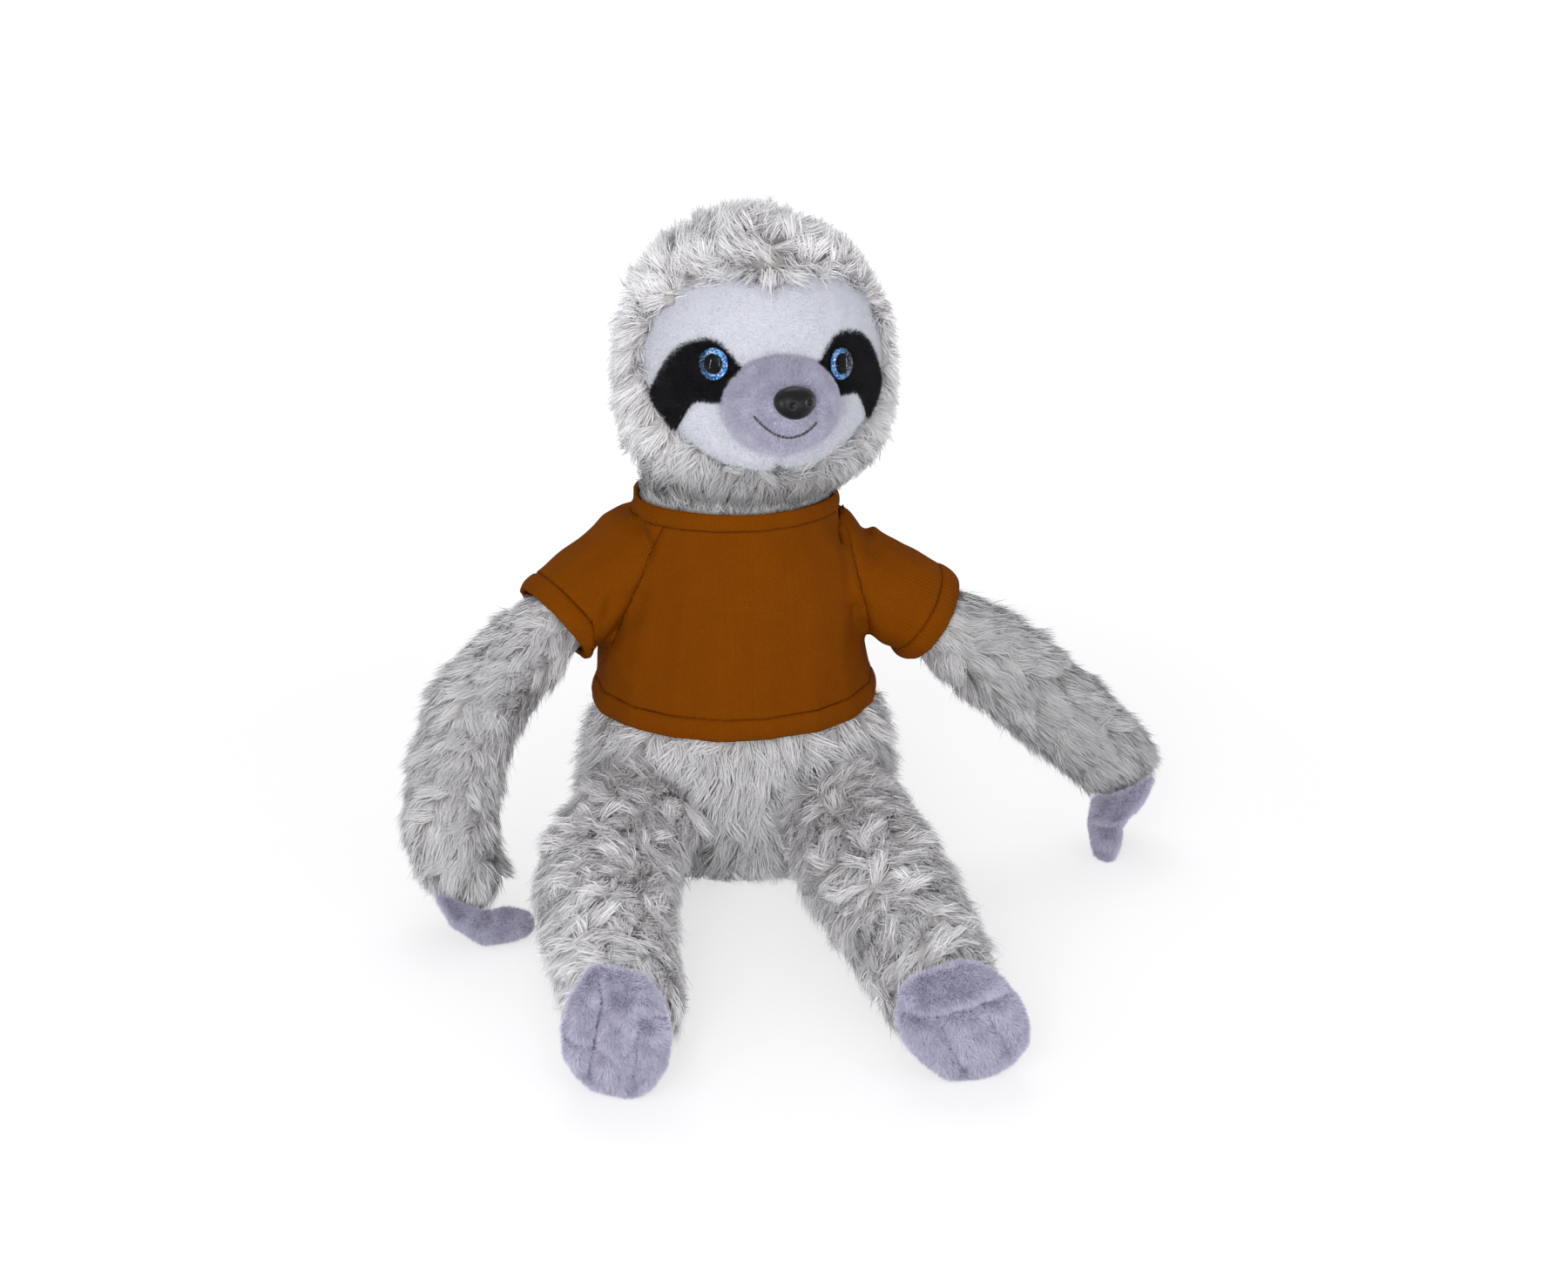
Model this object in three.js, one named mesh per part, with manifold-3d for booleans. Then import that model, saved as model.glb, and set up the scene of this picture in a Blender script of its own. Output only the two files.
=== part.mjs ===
// Plush sloth that sits on a flat surface with its legs forward. Millimetres: -Y is the way it faces,
// +X is its left, +Z is up, and the origin is on the surface under the middle of its seat.
import * as THREE from 'three';
import { mergeVertices } from 'three/addons/utils/BufferGeometryUtils.js';
import Module from 'manifold-3d';

const wasm = await Module();
wasm.setup();

// Clearances and fabric thicknesses
const gap = 0.3;            // between pieces that touch
const overrun = 5;          // how far a cut runs past what it cuts
const reach = 1200;         // the size of a cutting block, far longer than the toy
const weld = 0.0001;        // points nearer than this are one point
const backing = 1;          // woven backing under the pile
const furPile = 3.5;        // long pile, as it lies over the backing
const minkyPile = 1.5;      // short pile of the face, hands and feet
const appliqueThick = 1;    // the black eye patches
const jersey = 1.2;         // the shirt's knit
const foldedJersey = 2;     // collar, cuffs and hem, where the knit is turned double
const shirtEase = 0.8;      // air between the shirt and the fur that it presses down
const furWall = backing + furPile;

// Torso, a pear that is widest above the seat and cut flat at the seat and the neck
const torsoHeight = 157;
const torsoHalfWidth = 64;
const torsoHalfDepth = 50;
const torsoLean = 4;        // sideways, from the seat to the neck
const torsoShares = [
  // height, half-width, half-depth
  [0, 0.82, 0.80],
  [0.05, 0.95, 0.94],
  [0.18, 1.00, 1.00],
  [0.32, 0.955, 1.00],
  [0.47, 0.865, 0.96],
  [0.66, 0.80, 0.86],
  [0.84, 0.73, 0.76],
  [0.94, 0.64, 0.69],
  [1, 0.56, 0.61],
];
const torsoAround = 18;
const torsoInnerAround = 12;

// Head, an egg with a full lower half, cut flat where it meets the neck
const headSide = 6.5;       // the head's middle, sideways, forward and over the neck
const headForward = 1;
const headLift = 52;
const headHalfWidth = 51;   // to the backing, as all sizes on the head
const headHalfDepth = 47;
const headHalfHeight = 54.5;
const headTurn = 7;         // degrees to its left
const crownRoundness = 2.1; // exponent of the outline above the widest place
const cheekRoundness = 3;   // and below it
const headAround = 22;
const headRings = 11;
const headInnerAround = 12;
const headInnerRings = 7;

// Face, a wide white panel let into the fur
const faceHalfWidth = 48.5;
const faceHalfHeight = 37.5;
const faceRise = 3;
const facePointShares = [
  [0, 0.93],
  [0.30, 1.0],
  [0.62, 0.90],
  [0.88, 0.58],
  [1.0, 0.12],
  [0.93, -0.30],
  [0.76, -0.60],
  [0.45, -0.88],
  [0, -1.0],
];
const faceCurveSteps = 40;

// Eye patches, leaning outward and down from beside the muzzle
const patchHalfWidth = 16;
const patchHalfHeight = 19;
const patchSide = 30;       // sideways and down from the head's middle
const patchDrop = 1.5;
const patchPointShares = [
  [-0.50, 0.98],
  [0.12, 1.0],
  [0.62, 0.58],
  [0.98, -0.22],
  [0.92, -0.72],
  [0.62, -1.0],
  [0.42, -0.62],
  [0.10, -0.20],
  [-0.50, -0.12],
  [-0.98, 0.30],
];
const patchCurveSteps = 20;

// Safety eyes: a clear dome on a shank, glitter under it, a washer inside the head
const eyeRadius = 7;
const eyeDomeHeight = 4.2;
const eyeRimHeight = 0.8;
const shankRadius = 2;      // of the eyes and of the nose
const eyeShankLength = 12;
const eyeLean = 36;         // degrees that each eye looks outward
const eyeLift = 6;          // degrees that each eye looks up
const eyeSide = 24.6;       // sideways and up from the head's middle
const eyeHeight = 7.8;
const eyeStandOff = 0.8;    // the dome's rim over the patch, in the middle
const glitterThick = 0.5;
const glitterGap = 0.1;     // under the dome
const eyeWasherDepth = 9.1; // from the dome's rim
const washerRadius = 6.5;
const washerThick = 1.8;
const lathe = 12;
const domeSteps = 4;

// Muzzle, a small dome over the face, with a plastic nose and an embroidered smile
const muzzleHalfWidth = 22.5;
const muzzleHalfHeight = 19;
const muzzleHalfDepth = 29;
const muzzleForward = 44;   // forward and down from the head's middle
const muzzleDrop = 6.2;
const muzzleAround = 18;
const muzzleRings = 10;
const muzzleInnerAround = 10;
const muzzleInnerRings = 6;
const noseHalfWidth = 8;
const noseHalfHeight = 6.6;
const noseDepth = 5.5;
const noseLift = 20;        // degrees that the nose looks up
const noseHeight = 6.6;     // over the muzzle's middle
const noseShankLength = 9;
const noseWasherDepth = 5.8; // from the muzzle's surface
const smileHalfWidth = 12.2;
const smileEnds = 0.2;      // over the muzzle's middle
const smileDip = 6;
const smileThread = 0.55;   // radius of the thread
const smileSteps = 12;
const threadSides = 5;

// Limbs. Each path runs from its joint in the torso to its wrist or ankle, in shares of its length
// sideways and forward, and of the joint's height over the surface up and down.
const limbAround = 12;
const limbInnerAround = 8;
const capSteps = 2;
const capStartShare = 0.3;  // of the first step, where a rounded end begins
const ballAround = 14;
const ballRings = 8;
const pocketAround = 10;    // a coarser ball, for what the filling leaves free
const pocketRings = 6;
const armLength = 160;
const armBall = 22;
const armRadiusShares = [1, 0.90, 0.81, 0.86, 0.89, 0.86, 0.83, 0.79];
const rightShoulderDrop = 28;      // below the neck
const leftShoulderDrop = 35.5;
const armJointSide = 40;
const rightArmShares = [
  [0, 0, 0],
  [-0.215, -0.069, -0.186],
  [-0.370, -0.169, -0.353],
  [-0.456, -0.294, -0.535],
  [-0.478, -0.394, -0.690],
  [-0.460, -0.456, -0.833],
];
const leftArmShares = [
  [0, 0, 0],
  [0.240, -0.050, -0.182],
  [0.412, -0.069, -0.340],
  [0.565, -0.069, -0.511],
  [0.695, -0.069, -0.666],
  [0.758, -0.072, -0.744],
];
const armSwing = [0, 50];   // degrees that an arm lifts from where it rests against the body

const legLength = 165;
const legBall = 24.5;
const legRadiusShares = [1, 1.065, 1.11, 1.115, 1.075, 1.02, 0.955, 0.88];
const limbSteps = armRadiusShares.length - 1;
const legJointSide = 36;
const legJointForward = 30;
const legJointHeight = 28;
const rightLegShares = [
  [0, 0, 0],
  [-0.115, -0.240, -0.024],
  [-0.160, -0.490, -0.041],
  [-0.155, -0.735, -0.094],
  [-0.135, -0.965, -0.248],
];
const leftLegShares = [
  [0, 0, 0],
  [0.020, -0.240, -0.024],
  [0.050, -0.490, -0.041],
  [0.088, -0.735, -0.094],
  [0.118, -0.965, -0.248],
];
const rightLegSwing = [0, 15];     // degrees that a leg lifts off the surface, the right one up to the arm
const leftLegSwing = [0, 25];
const rootOpening = 9;      // radius of the hole that a limb is stuffed through

// Hands and feet, flat paddles quilted into three toes by two seams
const paddleAround = 18;
const paddleInnerAround = 8;
const footLength = 46;
const rightFootHalfWidth = 20.5;
const leftFootHalfWidth = 23;
const footHalfThick = 6.6;
const handLength = 40;
const handHalfWidth = 12;
const handHalfThick = 5.6;
const paddleWall = minkyPile;
const toeSeamDepthShare = 0.34;
const toeSeamWidthShare = 0.16;
const toeSeamPlaceShare = 1 / 3;
const toeSeamStartShare = 0.2;
const toeSeamFullShare = 0.5;
const footOutlineShares = [
  // along the paddle, half-width, half-thickness
  [0, 0.50, 0.50],
  [0.10, 0.74, 0.80],
  [0.28, 0.93, 1.0],
  [0.50, 1.0, 1.0],
  [0.70, 0.97, 0.92],
  [0.86, 0.82, 0.74],
  [0.96, 0.55, 0.50],
  [1, 0.30, 0.28],
];
const handOutlineShares = [
  [0, 0.72, 0.92],
  [0.15, 0.88, 1.0],
  [0.35, 1.0, 1.0],
  [0.58, 0.90, 0.95],
  [0.80, 0.68, 0.80],
  [0.94, 0.46, 0.60],
  [1, 0.28, 0.34],
];
const footPathShares = [
  // sideways, forward and up from the ankle joint
  [0, -0.42, 0.45],
  [0, -0.53, 0.25],
  [0, -0.565, 0.01],
  [0, -0.575, -0.24],
  [0, -0.575, -0.47],
];
const footTurns = {
  // degrees about the line forward and about the upright
  right: [-5, -14],
  left: [16, 4],
};
const rightHandPathShares = [
  [-0.14, -0.10, -0.16],
  [-0.12, -0.25, -0.32],
  [0.10, -0.32, -0.40],
  [0.46, -0.33, -0.40],
];
const leftHandPathShares = [
  [0.06, -0.10, -0.16],
  [-0.04, -0.30, -0.26],
  [-0.24, -0.50, -0.40],
  [-0.34, -0.62, -0.62],
  [-0.32, -0.66, -0.82],
];
const rightHandAcrossShares = [0.30, 0.95, 0];
const leftHandAcrossShares = [0.85, -0.50, 0];

// Shirt: raglan body, rib collar, hem and sleeves with cuffs
const shirtBottom = 67;
const collarDrop = 9;       // from the neck to the collar's seam
const hemDrop = 5;          // how far the hem hangs lower at the front than at the back
const hemWidth = 9;
const collarHeight = 8;
const collarFlare = 1.2;
const sleeveBall = armBall + shirtEase + jersey;
const cuffFromJoint = 46;   // along the arm, to the sleeve's end
const cuffWidth = 9;
const sleeveMouth = 13;     // how far the sleeve's ball reaches into the torso

// Filling
const pelletHalfWidth = 30;
const pelletHalfDepth = 24;
const pelletHeight = 22;
const pelletBack = 14;      // behind the middle of the seat
const pelletAround = 14;

// Solids from geometry, and back
function solidOf(geometry) {
  const merged = geometry.clone();
  merged.deleteAttribute('normal');
  merged.deleteAttribute('uv');
  const welded = mergeVertices(merged, weld);
  const mesh = new wasm.Mesh({
    numProp: 3,
    vertProperties: new Float32Array(welded.attributes.position.array),
    triVerts: new Uint32Array(welded.index.array),
  });
  return new wasm.Manifold(mesh);
}

function geometryOf(solid) {
  const mesh = solid.getMesh();
  const geometry = new THREE.BufferGeometry();
  geometry.setAttribute('position', new THREE.BufferAttribute(new Float32Array(mesh.vertProperties), 3));
  geometry.setIndex(new THREE.BufferAttribute(new Uint32Array(mesh.triVerts), 1));
  geometry.computeVertexNormals();
  return geometry;
}

// A skin through rings of equally many points, closed by a fan at each end
function loft(rings) {
  const around = rings[0].length;
  const places = rings.flat();
  const index = [];
  for (let r = 0; r + 1 < rings.length; r++) {
    for (let i = 0; i < around; i++) {
      const a = r * around + i;
      const b = r * around + (i + 1) % around;
      index.push(a, b, b + around, a, b + around, a + around);
    }
  }
  const last = (rings.length - 1) * around;
  const middle = (ring) => ring.reduce((sum, p) => sum.add(p), new THREE.Vector3()).divideScalar(around);
  const first = places.push(middle(rings[0])) - 1;
  const final = places.push(middle(rings[rings.length - 1])) - 1;
  for (let i = 0; i < around; i++) {
    const next = (i + 1) % around;
    index.push(first, next, i, final, last + i, last + next);
  }
  const geometry = new THREE.BufferGeometry().setFromPoints(places);
  geometry.setIndex(index);
  return geometry;
}

function ring(centre, across, up, count) {
  return Array.from({ length: count }, (_, i) => {
    const angle = (i / count) * Math.PI * 2;
    return centre.clone().addScaledVector(across, Math.cos(angle)).addScaledVector(up, Math.sin(angle));
  });
}

function block(width, depth, height, x, y, z) {
  return solidOf(new THREE.BoxGeometry(width, depth, height).translate(x, y, z));
}

function ball(radius, place, around = ballAround, rings = ballRings) {
  const geometry = new THREE.SphereGeometry(radius, around, rings);
  return solidOf(geometry.rotateX(Math.PI / 2).translate(place.x, place.y, place.z));
}

// A ball to cut a socket with: its flat facets stay outside the radius, so a ball can turn in it
function socketBall(radius, place, around = ballAround, rings = ballRings) {
  const facets = Math.cos(Math.PI / around) * Math.cos(Math.PI / rings / 2);
  return ball(radius / facets, place, around, rings);
}

function turnedAbout(joint, axis, degrees) {
  const turn = new THREE.Matrix4().makeTranslation(joint.x, joint.y, joint.z);
  turn.multiply(new THREE.Matrix4().makeRotationAxis(axis, THREE.MathUtils.degToRad(degrees)));
  return turn.multiply(new THREE.Matrix4().makeTranslation(-joint.x, -joint.y, -joint.z));
}

// What a limb must clear as it turns about its joint: the torso at both limits and at rest, but not
// the ball in its socket
function clearedBy(limbBall, joint, axis, range, core) {
  const copies = [...new Set([range[0], 0, range[1]])].map((degrees) =>
    solidOf(geometryOf(core).applyMatrix4(turnedAbout(joint, axis, -degrees))),
  );
  return copies.reduce((all, copy) => all.add(copy)).subtract(ball(limbBall + gap / 2, joint));
}

// Torso layers: the pear grown by an offset, from one height to another
function torsoLayer(offset, bottom = 0, top = torsoHeight, around = torsoAround) {
  const rings = torsoShares.map(([height, width, depth]) => {
    const z = bottom + height * (top - bottom);
    const lean = torsoLean * (z / torsoHeight) - torsoLean / 2;
    const across = new THREE.Vector3(width * torsoHalfWidth + offset, 0, 0);
    const forward = new THREE.Vector3(0, depth * torsoHalfDepth + offset, 0);
    return ring(new THREE.Vector3(lean, 0, z), across, forward, around);
  });
  return solidOf(loft(rings));
}

const slab = (low, high) => block(reach, reach, high - low, 0, 0, (low + high) / 2);

const sides = { right: -1, left: 1 };
const shoulderDrops = { right: rightShoulderDrop, left: leftShoulderDrop };
const armJoint = (name) => new THREE.Vector3(sides[name] * armJointSide, 0, torsoHeight - shoulderDrops[name]);
const legJoint = (name) => new THREE.Vector3(sides[name] * legJointSide, -legJointForward, legJointHeight);

function sockets(around, rings) {
  const balls = Object.keys(sides).flatMap((name) => [
    socketBall(sleeveBall + gap, armJoint(name), around, rings),
    socketBall(legBall + gap, legJoint(name), around, rings),
  ]);
  return balls.reduce((all, one) => all.add(one));
}

const shirtInner = shirtEase;
const shirtOuter = shirtEase + jersey;
const hemOuter = shirtEase + foldedJersey;

// Everything of the torso and its shirt that a limb must clear, grown by an offset
function torsoCore(offset) {
  const shirt = torsoLayer(hemOuter + offset).intersect(slab(shirtBottom - hemDrop - offset, torsoHeight));
  return torsoLayer(offset, -offset, torsoHeight + offset).add(shirt);
}

// Pellet bag in the seat, and the pocket that the filling leaves for it
function pelletBag(offset) {
  const geometry = new THREE.SphereGeometry(1, pelletAround, pelletAround / 2);
  geometry.rotateX(Math.PI / 2);
  geometry.scale(pelletHalfWidth + offset, pelletHalfDepth + offset, pelletHeight / 2 + offset);
  geometry.translate(0, pelletBack, furWall + gap + pelletHeight / 2);
  return solidOf(geometry);
}

function torsoPieces() {
  const hollow = torsoLayer(-furWall, furWall, torsoHeight + overrun, torsoInnerAround);
  const stuffing = torsoLayer(-furWall - gap, furWall + gap, torsoHeight, torsoInnerAround);
  return {
    torso_fur: torsoLayer(0).subtract(hollow).subtract(sockets()),
    torso_filling: stuffing.subtract(sockets(pocketAround, pocketRings)).subtract(pelletBag(gap)),
    seat_pellet_bag: pelletBag(0),
  };
}

// Shirt pieces around the torso
function shirtPieces() {
  const [rightHole, leftHole] = Object.keys(sides).map((name) => socketBall(sleeveBall + gap, armJoint(name)));
  const armholes = rightHole.add(leftHole);
  const tilt = Math.atan2(hemDrop, 2 * torsoHalfDepth);
  const band = (low, high) => {
    const geometry = new THREE.BoxGeometry(reach, reach, high - low);
    geometry.translate(0, 0, (high - low) / 2).rotateX(tilt).translate(0, 0, low);
    return solidOf(geometry);
  };
  const hemTop = shirtBottom + hemWidth;
  const body = torsoLayer(shirtOuter).subtract(torsoLayer(shirtInner));
  const shirtTop = torsoHeight - collarDrop;
  const panels = body.intersect(slab(0, shirtTop)).subtract(armholes);
  const above = panels.subtract(band(-torsoHeight, hemTop + gap));
  const front = block(reach, reach, reach, 0, -(reach + gap) / 2, 0);
  const back = block(reach, reach, reach, 0, (reach + gap) / 2, 0);
  const hem = torsoLayer(hemOuter).subtract(torsoLayer(shirtInner)).intersect(band(shirtBottom, hemTop));
  const collarLow = shirtTop + gap;
  const collar = torsoLayer(hemOuter + collarFlare).subtract(torsoLayer(shirtInner));
  return {
    shirt_front: above.intersect(front),
    shirt_back: above.intersect(back),
    shirt_hem: hem,
    shirt_collar: collar.intersect(slab(collarLow, collarLow + collarHeight)).subtract(armholes),
  };
}

// A round limb along its path, grown by an offset, with a half ball at each end
const alongLimb = (joint, length, [x, y, z]) =>
  new THREE.Vector3(x * length, y * length, z * joint.z).add(joint);

function limbCurve(joint, shares, length) {
  return new THREE.CatmullRomCurve3(shares.map((share) => alongLimb(joint, length, share)));
}

function limbLayer(curve, radii, offset, around = limbAround) {
  const frames = curve.computeFrenetFrames(limbSteps, false);
  const rings = [];
  const add = (k, radius, shift) => {
    const centre = curve.getPointAt(k / limbSteps).addScaledVector(frames.tangents[k], shift);
    const across = frames.normals[k].clone().multiplyScalar(radius);
    const up = frames.binormals[k].clone().multiplyScalar(radius);
    rings.push(ring(centre, across, up, around));
  };
  const cap = (k, sense) => {
    const radius = radii[k] + offset;
    const angles = Array.from({ length: capSteps }, (_, i) => (Math.PI / 2) * ((i + capStartShare) / capSteps));
    const ordered = sense < 0 ? angles : angles.reverse();
    ordered.forEach((angle) => add(k, radius * Math.sin(angle), sense * radius * Math.cos(angle)));
  };
  cap(0, -1);
  for (let k = 0; k <= limbSteps; k++) {
    add(k, radii[k] + offset, 0);
  }
  cap(limbSteps, 1);
  return solidOf(loft(rings));
}

// The surface that it sits on, raised by an offset, as a cut
function floorCut(offset) {
  return block(reach, reach, reach, 0, 0, offset - reach / 2);
}

const armAxis = (shares) => {
  const wrist = shares[shares.length - 1];
  return new THREE.Vector3(wrist[1], -wrist[0], 0).normalize();
};

function armPieces(name, shares, range) {
  const joint = armJoint(name);
  const side = sides[name];
  const curve = limbCurve(joint, shares, armLength);
  const radii = armRadiusShares.map((share) => share * armBall);
  const axis = armAxis(shares);
  const trim = clearedBy(sleeveBall, joint, axis, range, torsoLayer(hemOuter + gap));
  const hollow = limbLayer(curve, radii, -furWall, limbInnerAround);
  const stuffing = limbLayer(curve, radii, -furWall - gap, limbInnerAround);
  const rootHole = new THREE.CylinderGeometry(rootOpening, rootOpening, armBall, limbInnerAround);
  rootHole.rotateZ(Math.PI / 2).translate(joint.x - (side * armBall) / 2, joint.y, joint.z);
  const length = curve.getLength();
  const sleeveSolid = (offset) => limbLayer(curve, radii, offset);
  const mouthX = joint.x - side * (sleeveMouth + armLength / 2);
  const mouth = block(armLength, armLength, armLength, mouthX, 0, joint.z);
  const cutAt = (distance, offset) => {
    const place = curve.getPointAt(distance / length);
    const way = curve.getTangentAt(distance / length);
    const geometry = new THREE.CylinderGeometry(armLength, armLength, armLength, limbAround);
    geometry.translate(0, armLength / 2, 0);
    geometry.applyQuaternion(new THREE.Quaternion().setFromUnitVectors(new THREE.Vector3(0, 1, 0), way));
    place.addScaledVector(way, offset);
    return solidOf(geometry.translate(place.x, place.y, place.z));
  };
  const tube = (outer) => sleeveSolid(outer).subtract(sleeveSolid(shirtInner));
  const cuffStart = cutAt(cuffFromJoint - cuffWidth, 0);
  const sleeve = tube(shirtOuter).subtract(mouth).subtract(cutAt(cuffFromJoint - cuffWidth, -gap));
  const cuff = tube(hemOuter).intersect(cuffStart).subtract(cutAt(cuffFromJoint, 0));
  return {
    [`arm_fur_${name}`]: limbLayer(curve, radii, 0).subtract(hollow).subtract(solidOf(rootHole)).subtract(trim),
    [`arm_filling_${name}`]: stuffing.subtract(trim),
    [`sleeve_${name}`]: sleeve.subtract(trim),
    [`sleeve_cuff_${name}`]: cuff.subtract(trim),
  };
}

function legPieces(name, shares, range) {
  const joint = legJoint(name);
  const curve = limbCurve(joint, shares, legLength);
  const radii = legRadiusShares.map((share) => share * legBall);
  const axis = new THREE.Vector3(-1, 0, 0);
  const trim = clearedBy(legBall, joint, axis, range, torsoCore(gap));
  const layer = (offset, around) => limbLayer(curve, radii, -offset, around).subtract(floorCut(offset));
  const rootHole = new THREE.CylinderGeometry(rootOpening, rootOpening, legBall, limbInnerAround);
  rootHole.translate(joint.x, joint.y + legBall / 2, joint.z);
  const skin = layer(0, limbAround).subtract(layer(furWall, limbInnerAround)).subtract(solidOf(rootHole));
  return {
    [`leg_fur_${name}`]: skin.subtract(trim),
    [`leg_filling_${name}`]: layer(furWall + gap, limbInnerAround).subtract(trim),
  };
}

// Hands and feet: flattened sections along a short path, pinched where the seams run
function paddleLayer(curve, outlineShares, halfWidth, halfThick, across, offset) {
  const count = offset ? paddleInnerAround : paddleAround;
  const least = offset ? (gap * paddleWall) / offset : 0;
  const length = curve.getLength();
  const rings = outlineShares.map(([along, width, thick]) => {
    const share = (offset + along * (length - 2 * offset)) / length;
    const centre = curve.getPointAt(share);
    const way = curve.getTangentAt(share);
    const side = across.clone().addScaledVector(way, -across.dot(way)).normalize();
    const normal = new THREE.Vector3().crossVectors(way, side);
    const begun = THREE.MathUtils.smoothstep(along, toeSeamStartShare, toeSeamFullShare);
    const seamDepth = begun * toeSeamDepthShare;
    return Array.from({ length: count }, (_, i) => {
      const angle = (i / count) * Math.PI * 2;
      const x = Math.cos(angle);
      const fromSeam = (Math.abs(x) - toeSeamPlaceShare) / toeSeamWidthShare;
      const y = Math.sin(angle) * (1 - seamDepth * Math.exp(-fromSeam * fromSeam));
      return centre
        .clone()
        .addScaledVector(side, x * Math.max(width * halfWidth - offset, least))
        .addScaledVector(normal, y * Math.max(thick * halfThick - offset, least));
    });
  });
  return solidOf(loft(rings));
}

function paddlePieces(kind, name, joint, jointBall, spec) {
  const curve = new THREE.CatmullRomCurve3(spec.places.map((place) => place.clone().add(joint)));
  const layer = (offset) =>
    paddleLayer(curve, spec.outlineShares, spec.halfWidth, spec.halfThick, spec.across, offset);
  const limbEnd = socketBall(jointBall + gap, joint);
  const skin = layer(0).subtract(floorCut(0)).subtract(limbEnd);
  const hollow = layer(paddleWall).subtract(floorCut(paddleWall));
  const stuffing = layer(paddleWall + gap).subtract(floorCut(paddleWall + gap));
  return {
    [`${kind}_${name}`]: skin.subtract(hollow),
    [`${kind}_filling_${name}`]: stuffing.subtract(limbEnd),
  };
}

const placesOf = (shares, size) => shares.map(([x, y, z]) => new THREE.Vector3(x, y, z).multiplyScalar(size));

function handPieces(name, joint, pathShares, acrossShares) {
  return paddlePieces('hand', name, joint, armRadiusShares[limbSteps] * armBall, {
    places: placesOf(pathShares, handLength),
    outlineShares: handOutlineShares,
    halfWidth: handHalfWidth,
    halfThick: handHalfThick,
    across: new THREE.Vector3(...acrossShares),
  });
}

function footPieces(name, joint) {
  const [roll, yaw] = footTurns[name];
  const turn = new THREE.Matrix4().makeRotationZ(THREE.MathUtils.degToRad(yaw));
  turn.multiply(new THREE.Matrix4().makeRotationY(-THREE.MathUtils.degToRad(roll)));
  return paddlePieces('foot', name, joint, legRadiusShares[limbSteps] * legBall, {
    places: placesOf(footPathShares, footLength).map((place) => place.applyMatrix4(turn)),
    outlineShares: footOutlineShares,
    halfWidth: { right: rightFootHalfWidth, left: leftFootHalfWidth }[name],
    halfThick: footHalfThick,
    across: new THREE.Vector3(1, 0, 0).applyMatrix4(turn),
  });
}

// Head, in its own frame: the origin at its middle, facing -Y before it turns
function headLayer(offset, around = headAround, count = headRings) {
  const halfHeight = headHalfHeight + offset;
  const rings = [];
  for (let k = 0; k < count; k++) {
    const t = Math.sin(Math.PI * ((k + 0.5) / count - 0.5));
    const roundness = t > 0 ? crownRoundness : cheekRoundness;
    const share = (1 - Math.abs(t) ** roundness) ** (1 / roundness);
    const across = new THREE.Vector3(share * (headHalfWidth + offset), 0, 0);
    const back = new THREE.Vector3(0, share * (headHalfDepth + offset), 0);
    rings.push(ring(new THREE.Vector3(0, 0, t * halfHeight), across, back, around));
  }
  return solidOf(loft(rings));
}

// A closed outline of points in shares, as a prism that runs forward from the head's middle
function facePrism(pointShares, halfWidth, halfHeight, x, z, curveSteps) {
  const points = pointShares.map(([u, v]) => new THREE.Vector3(x + u * halfWidth, z + v * halfHeight, 0));
  const curve = new THREE.CatmullRomCurve3(points, true);
  const corners = curve.getPoints(curveSteps).slice(0, -1);
  const shape = new THREE.Shape(corners.map((p) => new THREE.Vector2(p.x, p.y)));
  const depth = headHalfDepth * 2;
  const geometry = new THREE.ExtrudeGeometry(shape, { depth, bevelEnabled: false, steps: 1 });
  return solidOf(geometry.rotateX(Math.PI / 2));
}

const mirrored = (shares) => shares.map(([u, v]) => [-u, v]).reverse();
const wholeOutline = (half) => [...half, ...mirrored(half).slice(1, -1)];

function ellipsoid(halfWidth, halfDepth, halfHeight, y, z, around, rings) {
  const geometry = new THREE.SphereGeometry(1, around, rings).rotateX(Math.PI / 2);
  return solidOf(geometry.scale(halfWidth, halfDepth, halfHeight).translate(0, y, z));
}

// A turned piece whose axis points from a place in a direction
function turned(profile, place, direction) {
  const geometry = new THREE.LatheGeometry(profile.map(([r, h]) => new THREE.Vector2(r, h)), lathe);
  const turn = new THREE.Quaternion().setFromUnitVectors(new THREE.Vector3(0, 1, 0), direction);
  return solidOf(geometry.applyQuaternion(turn).translate(place.x, place.y, place.z));
}

const pegProfile = (radius, from, to) => [[0, from], [radius, from], [radius, to], [0, to]];
const ringProfile = (inner, outer, from, to) => [
  [inner, from], [outer, from], [outer, to], [inner, to], [inner, from],
];

function lookingOut(sideways, up) {
  const a = THREE.MathUtils.degToRad(sideways);
  const b = THREE.MathUtils.degToRad(up);
  return new THREE.Vector3(Math.sin(a) * Math.cos(b), -Math.cos(a) * Math.cos(b), Math.sin(b));
}

// The place on a head layer at a distance sideways and up, on the face
function onFace(x, z, offset) {
  const roundness = z > 0 ? crownRoundness : cheekRoundness;
  const level = (1 - Math.abs(z / (headHalfHeight + offset)) ** roundness) ** (1 / roundness);
  const width = level * (headHalfWidth + offset);
  const depth = level * (headHalfDepth + offset);
  return new THREE.Vector3(x, -depth * Math.sqrt(1 - (x / width) ** 2), z);
}

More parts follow.
